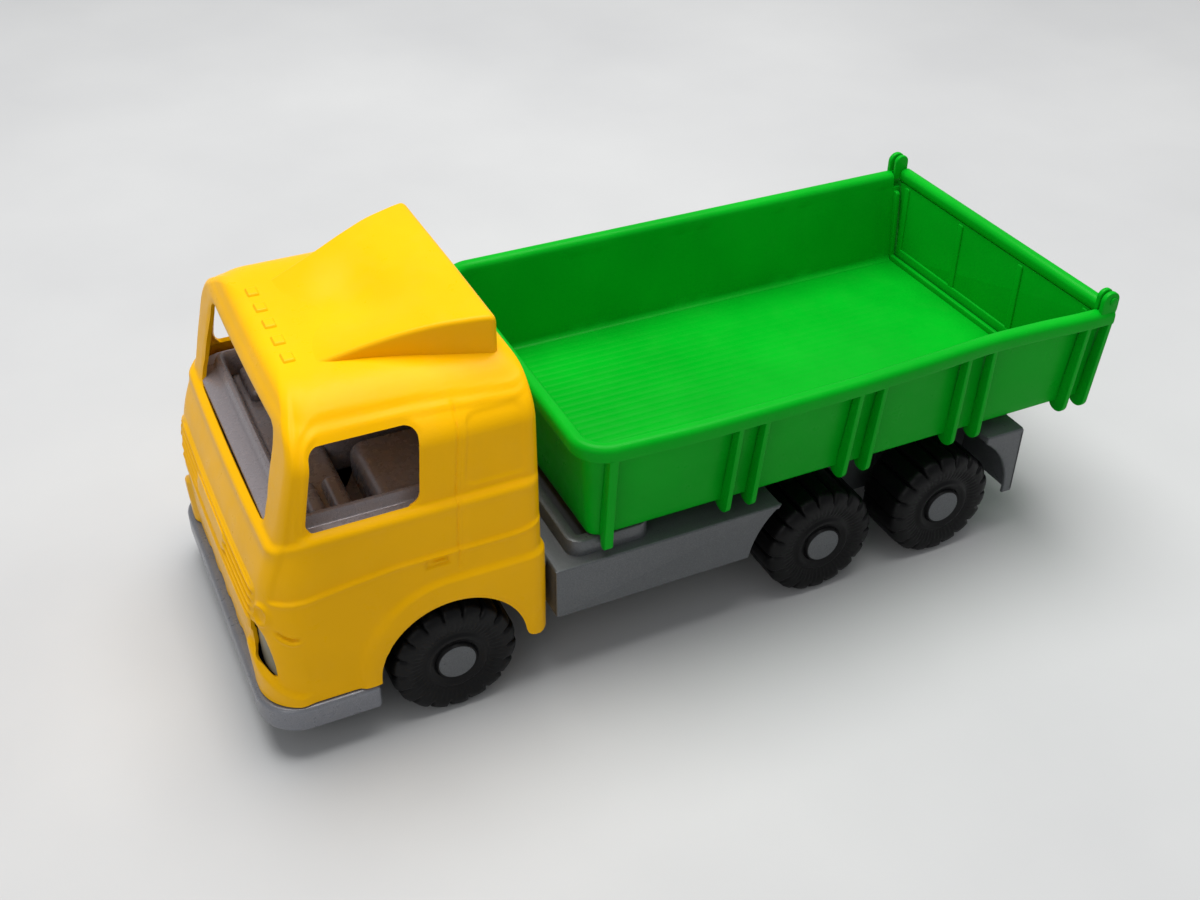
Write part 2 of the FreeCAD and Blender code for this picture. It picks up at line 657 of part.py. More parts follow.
def seat(low_x, high_x):
    """A plain cushion with a soft front edge and a leaning back with four rolls across it."""
    cushion = [(-188, 112, 0), (-146, 112, 0), (-146, 136, 0), (-188, 136, 8)]
    back = [(-152, 125, 0), (-138, 125, 0), (-131, 189, 3), (-142, 189, 4)]
    parts = [side_prism(cushion, low_x, high_x), side_prism(back, low_x, high_x)]
    lean = 10.0 / 64.0
    for roll in range(4):
        z = 144.5 + roll * 11.5
        y = -152 + lean * (z - 125)
        bolster = [(y - 3, z - 4.6, 2.5), (y + 4, z - 4.6, 0), (y + 4, z + 4.6, 0), (y - 2, z + 4.6, 2.5)]
        parts.append(side_prism(bolster, low_x + 4, high_x - 4))
    return parts


def dashboard(well_z):
    """A shelf under the windscreen with two padded rolls on each side."""
    shelf = [(-228, well_z - 1, 0), (-198, well_z - 1, 0), (-198, 131, 5), (-228, 131, 0)]
    parts = [side_prism(shelf, -80, 80)]
    for middle_y in (-219.0, -205.5):
        roll = [(middle_y - 5, 129, 0), (middle_y + 5, 129, 0), (middle_y + 5, 137, 4), (middle_y - 5, 137, 4)]
        parts += [side_prism(roll, *span) for span in mirrored_x(46, 78)]
    return parts


def make_interior():
    """One moulding: a tub with a ledge and a raised border, two seats, a dashboard and a console."""
    foot_z = float(d.deck_top_z) + 0.1
    ledge_z, border_z, well_z = 139.4, 145.0, 113.5
    tub = union([tub_block(0, foot_z, ledge_z), tub_block(9.5, ledge_z - 1, border_z)])
    hollow = tub_block(3, foot_z - 1, ledge_z - 3).cut(tub_block(13.5, well_z - 3, ledge_z))
    tub = tub.cut(union([tub_block(16.5, well_z, border_z + 1), hollow]))
    parts = seat(20, 76) + seat(-76, -20) + dashboard(well_z)
    parts.append(plan_prism(rectangle(-14, 14, -199, -134, 6), well_z - 1, 150))
    node("cab_interior", feature("cab_interior", single(union([tub] + parts))))


# ---------------------------------------------------------------- bed and tailgate

POST_Y = (3.5, 20.0, 81.1, 97.5, 158.6, 177.4, 244.6, 260.4)
FRONT_POST_Y = -71.3


def bed_section(z, half_width, front_y, corner):
    """Outline of the bed at height z, open to the rear."""
    x, rear = float(half_width), float(d.bed_rear_y)
    corners = [(-x, float(front_y), corner), (x, float(front_y), corner), (x, rear, 0), (-x, rear, 0)]
    return rounded_face(corners, lambda u, v: vec(u, v, z)).OuterWire


def tub(bottom_z, top_z, inset, corner):
    front = float(d.bed_front_y)
    low = bed_section(bottom_z, float(d.bed_bottom_x) - inset, front + inset, corner)
    high = bed_section(top_z, float(d.bed_top_x) - inset, front - float(d.bed_front_lean) + inset, corner)
    return Part.makeLoft([low, high], True, True)


def post_shape(y, foot_inner_x):
    """One upright post on a side wall, from the rim to a rounded foot below the floor."""
    outer, foot = float(d.rim_x), float(d.post_foot_x)
    radius = (foot - foot_inner_x) / 2
    base = float(d.bed_bottom_z)
    top = float(d.rim_bottom_z) + 2
    half = float(d.post_thickness) / 2
    points = [vec(foot_inner_x, y - half, base + 1), vec(98.5, y - half, base + 1), vec(104.0, y - half, top),
              vec(outer - 0.4, y - half, top), vec(foot, y - half, base + 1)]
    edges = [Part.LineSegment(a, b).toShape() for a, b in zip(points, points[1:])]
    low = vec((foot + foot_inner_x) / 2, y - half, base + 1 - radius)
    edges.append(Part.Arc(points[-1], low, points[0]).toShape())
    return Part.Face(Part.Wire(edges)).extrude(vec(0, 2 * half, 0))


def mirror_x(shape):
    return shape.mirror(vec(0, 0, 0), vec(1, 0, 0))


def make_bed():
    wall = float(d.bed_wall)
    floor_top = float(d.bed_bottom_z + d.bed_floor)
    rear = float(d.bed_rear_y)
    outer = tub(float(d.bed_bottom_z), float(d.rim_top_z) - 2, 0.0, 16.0)
    inner = tub(floor_top, float(d.rim_top_z) + 4, wall, 14.0)
    rim_outer = plan_prism([(-d.rim_x, d.rim_front_y, 20), (d.rim_x, d.rim_front_y, 20), (d.rim_x, rear, 2),
                            (-d.rim_x, rear, 2)], d.rim_bottom_z, d.rim_top_z)
    hollow_ends = Part.makeBox(300, 20, 90, vec(-150, rear - 0.01, floor_top))
    rim_edges = [edge for edge in rim_outer.Edges if near(edge.BoundBox.ZMin, d.rim_top_z, 0.01)
                 and edge.BoundBox.YMin < rear - 1]
    rim = rim_outer.makeFillet(3.0, rim_edges)
    pieces = [outer, rim]
    for y in POST_Y:
        post = post_shape(y, float(d.post_foot_x) - 2 * float(d.post_foot_radius))
        pieces += [post, mirror_x(post)]
    front_post = post_shape(FRONT_POST_Y, 100.6)
    pieces += [front_post, mirror_x(front_post)]
    ear_x = (107.6, 111.6)
    ear = union([x_cylinder(d.gate_ear_radius, ear_x[0], ear_x[1], d.gate_axis_y, d.gate_axis_z),
                 Part.makeBox(ear_x[1] - ear_x[0], 11, 13, vec(ear_x[0], rear - 11, float(d.rim_top_z) - 6))])
    pieces += [ear, mirror_x(ear)]
    lug = union([x_cylinder(d.tip_lug_radius, TIP_LUG_X[0], TIP_LUG_X[1], d.tip_axis_y, d.tip_axis_z),
                 Part.makeBox(TIP_LUG_X[1] - TIP_LUG_X[0], 12, 16,
                              vec(TIP_LUG_X[0], float(d.tip_axis_y) - 6, float(d.tip_axis_z)))])
    pieces += [lug, mirror_x(lug)]
    solid = union(pieces).cut(inner).cut(hollow_ends)
    stops = []
    stop_y = float(d.gate_front_y) - 3.6
    for sign in (1, -1):
        stop = Part.makeBox(9, 3, 52, vec(94 if sign > 0 else -103, stop_y, floor_top - 1))
        stops.append(stop.common(tub(float(d.bed_bottom_z), float(d.rim_top_z) - 2, 1.0, 15.0)))
    stops.append(Part.makeBox(192, 3, 4.5, vec(-96, stop_y, floor_top - 0.5)))
    for number in range(-7, 8):
        stops.append(Part.makeBox(1.2, 320, 0.8, vec(number * 12 - 0.6, -74, floor_top - 0.3)))
    solid = union([solid] + stops)
    bores = [x_cylinder(d.gate_peg_radius + d.running_gap, -115, 115, d.gate_axis_y, d.gate_axis_z),
             x_cylinder(d.tip_pin_radius + d.running_gap, -50, 50, d.tip_axis_y, d.tip_axis_z)]
    solid = solid.cut(Part.makeCompound(bores))
    rail_room = Part.makeBox(2 * 106.4, 40, 30, vec(-106.4, float(d.gate_front_y) - 4.0, 146.6))
    solid = solid.cut(rail_room)
    node("bed_body", feature("bed_body", single(solid)))


def make_tailgate():
    """A framed plate between the side walls, hung from two pegs in the bed's ears."""
    front = float(d.gate_front_y)
    back = front + float(d.gate_plate)
    gap = float(d.gate_gap) + float(d.bed_wall)
    floor = float(d.bed_bottom_z + d.bed_floor) + 0.8
    low_x, high_x = float(d.bed_bottom_x) - gap, float(d.bed_top_x) - gap
    plate_outline = [(-low_x, floor, 1), (low_x, floor, 1), (high_x, 150, 0), (-high_x, 150, 0)]
    plate = front_prism(plate_outline, front, back)
    recesses = [front_prism(rectangle(low, low + 56, floor + 9, 141, 3), front - 1, front + 1.2)
                for low in (-90, -28, 34)]
    ribs = [Part.makeBox(3, 5, 52, vec(x - 1.5, back - 0.5, floor + 2)) for x in (-60, -20, 20, 60)]
    frame_strip = Part.makeBox(2 * low_x - 4, 268 - back + 0.5, 3, vec(2 - low_x, back - 0.5, floor + 1))
    rail_outline = [(front - 3.5, 148, 3), (back + 6, 148, 3), (back + 6, 158, 4.5), (front - 3.5, 158, 4.5)]
    rail = side_prism(rail_outline, -103, 103)
    parts = [plate.cut(Part.makeCompound(recesses)), rail, frame_strip] + ribs
    for sign in (1, -1):
        low = 102 if sign > 0 else -106
        arm = side_prism([(254, 150, 0), (264, 150, 0), (263, 163, 0), (254, 163, 0)], low, low + 4)
        eye = x_cylinder(5.5, low, low + 4, d.gate_axis_y, d.gate_axis_z)
        peg_low = 104 if sign > 0 else -111.8
        peg = x_cylinder(d.gate_peg_radius, peg_low, peg_low + 7.8, d.gate_axis_y, d.gate_axis_z)
        parts += [arm, eye, peg]
    node("tailgate", feature("tailgate", single(union(parts))))


# ---------------------------------------------------------------- spring motor

AXLE_SPOT = (float(d.rear_axle_y), float(d.wheel_radius))
TRANSFER_LIFT = math.radians(25.0)
DRUM_LIFT = math.radians(5.0)


def centre_distance(teeth_a, teeth_b):
    return float(d.gear_module) * (float(teeth_a) + float(teeth_b)) / 2 + float(d.mesh_gap)


def forward_of(spot, distance, lift):
    """A point at a distance towards the nose, raised by the angle lift."""
    return (spot[0] - distance * math.cos(lift), spot[1] + distance * math.sin(lift))


TRANSFER_SPOT = forward_of(AXLE_SPOT, centre_distance(d.pinion_teeth, d.wheel_teeth), TRANSFER_LIFT)
DRUM_SPOT = forward_of(TRANSFER_SPOT, centre_distance(d.pinion_teeth, d.drum_teeth), DRUM_LIFT)


def gear_blank(teeth, face):
    """A spur gear of stub teeth on the X axis; its first tooth points along +Y."""
    builder = fcgear.FCWireBuilder()
    involute.CreateExternalGear(builder, float(d.gear_module), int(float(teeth)), 25, True, 0.8, 1.0, 0.2)
    wire = Part.Wire([curve.toShape() for curve in builder.wire])
    solid = Part.Face(wire).extrude(vec(0, 0, face))
    z_to_x = FreeCAD.Rotation(vec(1, 1, 1), 120)
    solid.Placement = FreeCAD.Placement(vec(0, 0, 0), z_to_x)
    return solid


def gear_at(teeth, face, x, spot, tooth_angle):
    """Put a gear at spot, with one tooth pointing at tooth_angle from +Y towards +Z."""
    solid = gear_blank(teeth, face)
    solid.rotate(vec(0, 0, 0), vec(1, 0, 0), math.degrees(tooth_angle))
    solid.translate(vec(x, spot[0], spot[1]))
    return solid


def gap_angle(teeth, towards):
    """The tooth angle that turns the middle of a tooth gap towards an angle."""
    return towards + math.pi / float(teeth)


def direction(start, end):
    return math.atan2(end[1] - start[1], end[0] - start[0])


def make_motor_gears():
    to_transfer = direction(AXLE_SPOT, TRANSFER_SPOT)
    to_drum = direction(TRANSFER_SPOT, DRUM_SPOT)
    face = float(d.gear_face)
    pinion = gear_at(d.pinion_teeth, face + 2, 5, AXLE_SPOT, to_transfer)
    pinion = pinion.cut(x_cylinder(d.axle_radius, 0, 20, *AXLE_SPOT))
    node("axle_pinion", feature("axle_pinion", single(pinion)))

    wheel = gear_at(d.wheel_teeth, face, 6, TRANSFER_SPOT, gap_angle(d.wheel_teeth, to_transfer + math.pi))
    small = gear_at(d.pinion_teeth, face + 1, -13.5, TRANSFER_SPOT, to_drum)
    hub = x_cylinder(3.4, -8.5, 7, *TRANSFER_SPOT)
    transfer = union([wheel, small, hub])
    transfer = transfer.cut(x_cylinder(float(d.arbor_radius) + float(d.running_gap), -20, 20, *TRANSFER_SPOT))
    node("transfer_gear", feature("transfer_gear", single(transfer)))

    plate = gear_at(d.drum_teeth, face - 1, -13, DRUM_SPOT, gap_angle(d.drum_teeth, to_drum + math.pi))
    cup = x_cylinder(d.drum_radius, -9.5, 4, *DRUM_SPOT)
    cup = cup.cut(x_cylinder(d.drum_radius - 1.2, -9, 5, *DRUM_SPOT))
    drum = union([plate, cup])
    drum = drum.cut(x_cylinder(float(d.arbor_radius) + 0.5 + float(d.running_gap), -20, 20, *DRUM_SPOT))
    node("spring_drum_gear", feature("spring_drum_gear", single(drum)))


def spiral(radius_start, radius_end, turns, x):
    """An Archimedean spiral about the drum's arbor, in the plane of constant x."""
    steps = int(turns * 12)
    points = []
    for step in range(steps + 1):
        part = step / steps
        angle = part * turns * 2 * math.pi
        radius = radius_start + (radius_end - radius_start) * part
        y, z = radius * math.cos(angle), radius * math.sin(angle)
        points.append(vec(x, DRUM_SPOT[0] + y, DRUM_SPOT[1] + z))
    curve = Part.BSplineCurve()
    curve.interpolate(points)
    return curve.toShape(), points[0], points[-1]


def make_mainspring():
    strip = float(d.spring_strip)
    x = -8.0
    inner, inner_start, inner_end = spiral(3.0, 14.6, 8, x)
    outer, outer_start, outer_end = spiral(3.0 + strip, 14.6 + strip, 8, x)
    pairs = ((inner_start, outer_start), (inner_end, outer_end))
    ends = [Part.LineSegment(*pair).toShape() for pair in pairs]
    face = Part.Face(Part.Wire(Part.__sortEdges__([inner, outer] + ends)))
    node("mainspring", feature("mainspring", face.extrude(vec(11, 0, 0))))


def make_arbors():
    reach = float(d.case_x) - 0.5
    for label, radius, spot in (("drum_arbor", float(d.arbor_radius) + 0.5, DRUM_SPOT),
                                ("transfer_arbor", float(d.arbor_radius), TRANSFER_SPOT)):
        node(label, rod(label, radius, (-reach, reach), spot[0], spot[1]))


CASE_SCREWS = ((96.5, 28.5), (171.5, 28.5), (96.5, 68.5), (171.5, 68.5))


def case_half(label, x_low, x_high):
    """Half of the motor's casing, split on the lorry's middle plane."""
    skin = float(d.case_skin)
    front, rear = float(d.case_front_y), float(d.case_rear_y)
    low, high = float(d.case_bottom_z), float(d.case_top_z)
    outer = side_prism(rectangle(front, rear, low, high, 6), x_low, x_high)
    inner_x = (x_low, x_high - skin) if x_low >= 0 else (x_low + skin, x_high)
    inner = side_prism(rectangle(front + skin, rear - skin, low + skin, high - skin, 4), *inner_x)
    shell = outer.cut(inner)
    bosses = [x_cylinder(3.2, x_low, x_high, y, z) for y, z in CASE_SCREWS]
    for x, y in MOTOR_SCREWS:
        if x_low <= x <= x_high:
            post = Part.makeCylinder(4, 13, vec(x, y, float(d.deck_top_z - d.deck_thickness) - 13.1))
            bosses.append(post)
    shell = union([shell] + bosses)
    holes = [x_cylinder(1.05, -30, 30, y, z) for y, z in CASE_SCREWS]
    holes.append(x_cylinder(float(d.axle_radius) + float(d.running_gap), -30, 30, *AXLE_SPOT))
    reach = float(d.case_x) - 0.5
    holes.append(x_cylinder(float(d.arbor_radius) + 0.5, -reach, reach, *DRUM_SPOT))
    holes.append(x_cylinder(float(d.arbor_radius), -reach, reach, *TRANSFER_SPOT))
    for x, y in MOTOR_SCREWS:
        holes.append(Part.makeCylinder(1.5, 12, vec(x, y, float(d.deck_top_z) - 11)))
    shell = shell.cut(Part.makeCompound(holes))
    node(label, feature(label, single(shell)))


def make_motor_case():
    case_half("motor_case_left", 0.05, float(d.case_x))
    case_half("motor_case_right", -float(d.case_x), -0.05)
    shapes = [screw_shape(d.case_x, y, z, 30.0, vec(-1, 0, 0), 1.0, 2.2, 1.4) for y, z in CASE_SCREWS]
    node("motor_case_screws", feature("motor_case_screws", Part.makeCompound(shapes)))


# ---------------------------------------------------------------- build, check and write

def check_model():
    doc.recompute()
    for item in doc.Objects:
        assert "Invalid" not in item.State and "Error" not in item.State, item.Name + " " + str(item.State)
    for label, item in nodes.items():
        assert not item.Shape.isNull() and item.Shape.isValid(), label + " has no valid shape"
        assert item.Shape.Solids, label + " has no solid"


def write_parts():
    os.makedirs("parts", exist_ok=True)
    for label, item in nodes.items():
        item.Shape.exportStep("parts/" + label + ".step")


make_axle_sets()
make_chassis()
make_fasteners()
make_cab()
make_headlights()
make_interior()
make_bed()
make_tailgate()
make_motor_gears()
make_mainspring()
make_arbors()
make_motor_case()
check_model()
write_parts()
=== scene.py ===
import json
import math

import bmesh
import bpy
import numpy as np
from mathutils import Matrix, Vector


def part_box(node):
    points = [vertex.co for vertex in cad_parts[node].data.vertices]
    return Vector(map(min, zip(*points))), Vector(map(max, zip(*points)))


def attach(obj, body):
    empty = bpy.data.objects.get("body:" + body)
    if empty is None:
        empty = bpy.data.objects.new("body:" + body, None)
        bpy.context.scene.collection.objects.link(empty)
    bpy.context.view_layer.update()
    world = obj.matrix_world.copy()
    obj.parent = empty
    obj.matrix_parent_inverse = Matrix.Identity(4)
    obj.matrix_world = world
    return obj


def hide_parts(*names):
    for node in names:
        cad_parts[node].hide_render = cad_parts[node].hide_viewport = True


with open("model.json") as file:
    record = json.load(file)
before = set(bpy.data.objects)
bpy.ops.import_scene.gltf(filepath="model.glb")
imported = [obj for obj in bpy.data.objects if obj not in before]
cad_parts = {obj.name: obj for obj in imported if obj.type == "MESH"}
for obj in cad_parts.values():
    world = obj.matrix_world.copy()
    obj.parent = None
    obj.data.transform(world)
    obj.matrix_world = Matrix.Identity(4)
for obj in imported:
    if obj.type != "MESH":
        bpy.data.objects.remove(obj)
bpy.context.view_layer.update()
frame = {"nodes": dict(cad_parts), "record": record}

# A toy tipper lorry: nose towards -Y, seen side towards +X. Lengths below are in millimetres and
# become metres in make_object; the camera, lights and materials are in metres.
MM = 0.001
MIRROR = np.array([-1.0, 1.0, 1.0])
QUARTER = math.pi / 2


def cad_box(node):
    """The lowest and highest corner of a CAD node, in millimetres."""
    return [np.array(corner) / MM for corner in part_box(node)]


def cad_middle(node):
    """The middle of a CAD node's box, in millimetres."""
    low, high = cad_box(node)
    return (low + high) / 2


# -------- number helpers

def ease(t):
    """0 below 0, 1 above 1 and a smooth S between."""
    t = np.clip(t, 0.0, 1.0)
    return t * t * (3.0 - 2.0 * t)


def rise(value, edge, width):
    """A smooth step from 0 to 1, centred on edge."""
    return ease((value - edge) / width + 0.5)


def bump(value, middle, half_width):
    return np.exp(-((value - middle) / half_width) ** 2)


def curve_through(at, places, values, blur=0.0):
    """Straight runs through (place, value) pairs, with their corners blurred over +-blur."""
    if not blur:
        return np.interp(at, places, values)
    shifts = np.linspace(-blur, blur, 9)
    return sum(np.interp(at + shift, places, values) for shift in shifts) / len(shifts)


def box_distance(u, v, middle, half, radius):
    """Signed distance to a rounded rectangle in the (u, v) plane: negative inside."""
    away_u = np.abs(u - middle[0]) - half[0] + radius
    away_v = np.abs(v - middle[1]) - half[1] + radius
    outside = np.hypot(np.maximum(away_u, 0), np.maximum(away_v, 0))
    return outside + np.minimum(np.maximum(away_u, away_v), 0) - radius


def rounded_all(distances, radius):
    """Distance inside the space where every distance is positive, with its corners rounded."""
    gaps = [np.maximum(radius - distance, 0) for distance in distances]
    nearest = np.minimum.reduce(distances)
    return np.where(nearest > radius, nearest, radius - np.sqrt(sum(gap ** 2 for gap in gaps)))


def half_plane(u, v, start, end):
    """Distance from the line start-end, positive on its left."""
    run = np.array(end, float) - np.array(start, float)
    run /= np.hypot(*run)
    return run[0] * (v - start[1]) - run[1] * (u - start[0])


# -------- mesh helpers

def add_object(name, data):
    """A new object around data, linked into the scene."""
    item = bpy.data.objects.new(name, data)
    bpy.context.scene.collection.objects.link(item)
    return item


def make_object(name, points, faces, body, slot, smooth_angle=38.0, closed=False, finish=None):
    """A piece from points in millimetres; edges sharper than smooth_angle stay sharp.

    A closed piece has its faces turned outwards. Its finish is its slot's, unless another is given.
    """
    mesh = bpy.data.meshes.new(name)
    mesh.from_pydata((np.asarray(points) * MM).tolist(), [], faces)
    shell = bmesh.new()
    shell.from_mesh(mesh)
    bmesh.ops.remove_doubles(shell, verts=shell.verts, dist=1e-7)
    bmesh.ops.dissolve_degenerate(shell, edges=shell.edges, dist=1e-7)
    if closed:
        bmesh.ops.recalc_face_normals(shell, faces=shell.faces)
    for face in shell.faces:
        face.smooth = True
    shell.to_mesh(mesh)
    shell.free()
    mesh.set_sharp_from_angle(angle=math.radians(smooth_angle))
    mesh.materials.append(finish or FINISHES[slot])
    piece = add_object(name, mesh)
    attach(piece, body)
    return piece


def grid_faces(rows, columns, wrap=False):
    """Quads over a (rows, columns) grid of points; wrap joins the last column to the first."""
    faces = []
    last = columns if wrap else columns - 1
    for row in range(rows - 1):
        for column in range(last):
            ahead = (column + 1) % columns
            faces.append((row * columns + column, row * columns + ahead,
                          (row + 1) * columns + ahead, (row + 1) * columns + column))
    return faces


def open_grid(points, distance):
    """Cut openings in a closed grid where distance is negative, moving points to the edge itself."""
    rows, columns = distance.shape
    points = points.copy()
    snapped = distance.copy()
    best = np.full(distance.shape, 9.0)
    moved = points.copy()

    def consider(a, b):
        """Edges from index arrays a to b; the end nearer to the crossing moves there."""
        da, db = distance[a], distance[b]
        crossing = (da < 0) != (db < 0)
        share = np.where(crossing, da / np.where(crossing, da - db, 1.0), 0.0)
        for near, far, part in ((a, b, share), (b, a, 1.0 - share)):
            closer = crossing & (part <= 0.5) & (part < best[near])
            spot = points[near] + (points[far] - points[near]) * part[..., None]
            rows_hit, columns_hit = near[0][closer], near[1][closer]
            moved[rows_hit, columns_hit] = spot[closer]
            best[rows_hit, columns_hit] = part[closer]
            snapped[rows_hit, columns_hit] = 0.0

    row_index, column_index = np.meshgrid(np.arange(rows), np.arange(columns), indexing="ij")
    ahead = (column_index + 1) % columns
    consider((row_index, column_index), (row_index, ahead))
    consider((row_index[:-1], column_index[:-1]), (row_index[1:], column_index[1:]))
    flat = snapped.reshape(-1)
    faces = []
    for face in grid_faces(rows, columns, wrap=True):
        kept = [corner for corner in face if flat[corner] >= 0]
        if len(kept) >= 3:
            faces.append(tuple(kept))
    return moved, faces


def drop_unused(points, faces):
    """Points that no face uses are left out."""
    points = np.asarray(points).reshape(-1, 3)
    used = np.unique(np.concatenate([np.array(face) for face in faces]))
    number = np.full(len(points), -1)
    number[used] = np.arange(len(used))
    return points[used], [tuple(int(number[corner]) for corner in face) for face in faces]


def thicken(points, faces, thickness):
    """Give a surface a thickness behind it, with walls round its open edges."""
    mesh = bpy.data.meshes.new("surface")
    mesh.from_pydata(points.tolist(), [], faces)
    mesh.update()
    normals = np.array([vertex.normal[:] for vertex in mesh.vertices])
    counts = {}
    for face in faces:
        for a, b in zip(face, face[1:] + face[:1]):
            counts[(a, b)] = counts.get((a, b), 0) + 1
    bpy.data.meshes.remove(mesh)
    size = len(points)
    inner = points - normals * thickness
    walls = [(b, a, a + size, b + size) for a, b in counts if (b, a) not in counts]
    inner_faces = [tuple(corner + size for corner in reversed(face)) for face in faces]
    return np.vstack([points, inner]), faces + inner_faces + walls


def joined(blocks):
    """Several (points, faces) blocks as one."""
    points, faces, start = [], [], 0
    for block_points, block_faces in blocks:
        points.append(np.asarray(block_points, float).reshape(-1, 3))
        faces += [tuple(corner + start for corner in face) for face in block_faces]
        start += len(points[-1])
    return np.concatenate(points), faces


def make_moulding(name, blocks, body, slot, finish=None):
    """One closed piece out of several blocks."""
    points, faces = joined(blocks)
    return make_object(name, points, faces, body, slot, closed=True, finish=finish)


ARC_STEP = 12.0


def rounded_outline(corners):
    """A closed outline through (u, v, radius) corners, each rounded with an arc."""
    spots = [np.array(corner[:2], float) for corner in corners]
    outline = []
    for number, corner in enumerate(corners):
        here, radius = spots[number], corner[2]
        if radius <= 0:
            outline.append(here)
            continue
        back, ahead = spots[number - 1] - here, spots[(number + 1) % len(spots)] - here
        back, ahead = back / np.hypot(*back), ahead / np.hypot(*ahead)
        half = math.acos(np.clip(back @ ahead, -1, 1)) / 2
        centre = here + (back + ahead) / np.hypot(*(back + ahead)) * radius / math.sin(half)
        start = here + back * radius / math.tan(half) - centre
        end = here + ahead * radius / math.tan(half) - centre
        sweep = math.atan2(start[0] * end[1] - start[1] * end[0], start @ end)
        count = max(2, int(abs(math.degrees(sweep)) / ARC_STEP) + 1)
        for angle in np.linspace(0, sweep, count + 1):
            c, s = math.cos(angle), math.sin(angle)
            outline.append(centre + np.array([c * start[0] - s * start[1], s * start[0] + c * start[1]]))
    return np.array(outline)


def moved_in(outline, inset):
    """An anticlockwise outline moved inwards by inset."""
    ahead = np.roll(outline, -1, axis=0) - outline
    ahead /= np.maximum(np.hypot(ahead[:, 0], ahead[:, 1]), 1e-9)[:, None]
    inward = np.stack([-ahead[:, 1], ahead[:, 0]], axis=1)
    before = np.roll(inward, 1, axis=0)
    both = 1 + np.sum(inward * before, axis=1)
    return outline + (inward + before) / np.maximum(both, 0.4)[:, None] * inset


def along_x(u, v, w):
    return np.stack([w, u, v], axis=-1)


def along_y(u, v, w):
    return np.stack([u, w, v], axis=-1)


def along_z(u, v, w):
    return np.stack([u, v, w], axis=-1)


def prism(corners, place, low, high, bevel=0.8, steps=3):
    """A prism over rounded corners, from low to high along place's axis, with rounded end edges."""
    outline = rounded_outline(corners)
    after = np.roll(outline, -1, axis=0)
    if np.sum(outline[:, 0] * after[:, 1] - outline[:, 1] * after[:, 0]) < 0:
        outline = outline[::-1]
    angles = np.linspace(0, QUARTER, steps + 1)
    levels = [(bevel * (1 - math.sin(angle)), low + bevel * (1 - math.cos(angle))) for angle in angles]
    levels += [(inset, low + high - level) for inset, level in reversed(levels)]
    return stacked(outline, levels, place)


def stacked(outline, levels, place):
    """A solid of stacked rings: each level is (inset, height) of one outline, capped at both ends."""
    rings = []
    for inset, level in levels:
        ring = moved_in(outline, inset)
        rings.append(place(ring[:, 0], ring[:, 1], np.full(len(ring), float(level))))
    count = len(outline)
    faces = grid_faces(len(rings), count, wrap=True)
    faces.append(tuple(reversed(range(count))))
    faces.append(tuple(range((len(rings) - 1) * count, len(rings) * count)))
    return np.concatenate(rings), faces


def block(u, v, radius):
    """Corners of a rectangle that spans u and v."""
    return [(u[0], v[0], radius), (u[1], v[0], radius), (u[1], v[1], radius), (u[0], v[1], radius)]


def both_sides(blocks):
    """The blocks and their mirror images across the middle plane."""
    mirrored = [(np.asarray(points) * MIRROR, [tuple(reversed(face)) for face in faces])
                for points, faces in blocks]
    return blocks + mirrored


# -------- materials

def socket(shader, name, value):
    shader.inputs[name].default_value = value


def noise(tree, scale, detail, stretch=(1, 1, 1), roughness=0.5):
    """A noise texture in the object's own metres; scale is in features per metre."""
    place = tree.nodes.new("ShaderNodeTexCoord")
    mapping = tree.nodes.new("ShaderNodeMapping")
    mapping.inputs["Scale"].default_value = stretch
    tree.links.new(place.outputs["Object"], mapping.inputs["Vector"])
    texture = tree.nodes.new("ShaderNodeTexNoise")
    socket(texture, "Scale", scale)
    socket(texture, "Detail", detail)
    socket(texture, "Roughness", roughness)
    tree.links.new(mapping.outputs["Vector"], texture.inputs["Vector"])
    return texture.outputs["Fac"]


def ramp(tree, value, low, high, color_low, color_high):
    """Remap value from low..high to a blend of two colours."""
    node = tree.nodes.new("ShaderNodeValToRGB")
    node.color_ramp.elements[0].position = low
    node.color_ramp.elements[0].color = color_low
    node.color_ramp.elements[1].position = high
    node.color_ramp.elements[1].color = color_high
    tree.links.new(value, node.inputs["Fac"])
    return node.outputs["Color"]


def new_material(name):
    material = bpy.data.materials.new(name)
    material.use_nodes = True
    tree = material.node_tree
    return material, tree, tree.nodes["Principled BSDF"]


def grey(level):
    return (level, level, level, 1)


def blend_colors(tree, share, first, second, mode="MIX"):
    node = tree.nodes.new("ShaderNodeMix")
    node.data_type = "RGBA"
    node.blend_type = mode
    for key, value in (("Factor", share), ("A", first), ("B", second)):
        target = next(item for item in node.inputs if item.name == key and item.enabled)
        if isinstance(value, bpy.types.NodeSocket):
            tree.links.new(value, target)
        else:
            target.default_value = value
    return next(item for item in node.outputs if item.enabled)


SPARKLE_SCALE, PEEL_SCALE = 2600.0, 420.0
PEEL_DEPTH, SCRATCH_DEPTH = 0.00025, 0.0002


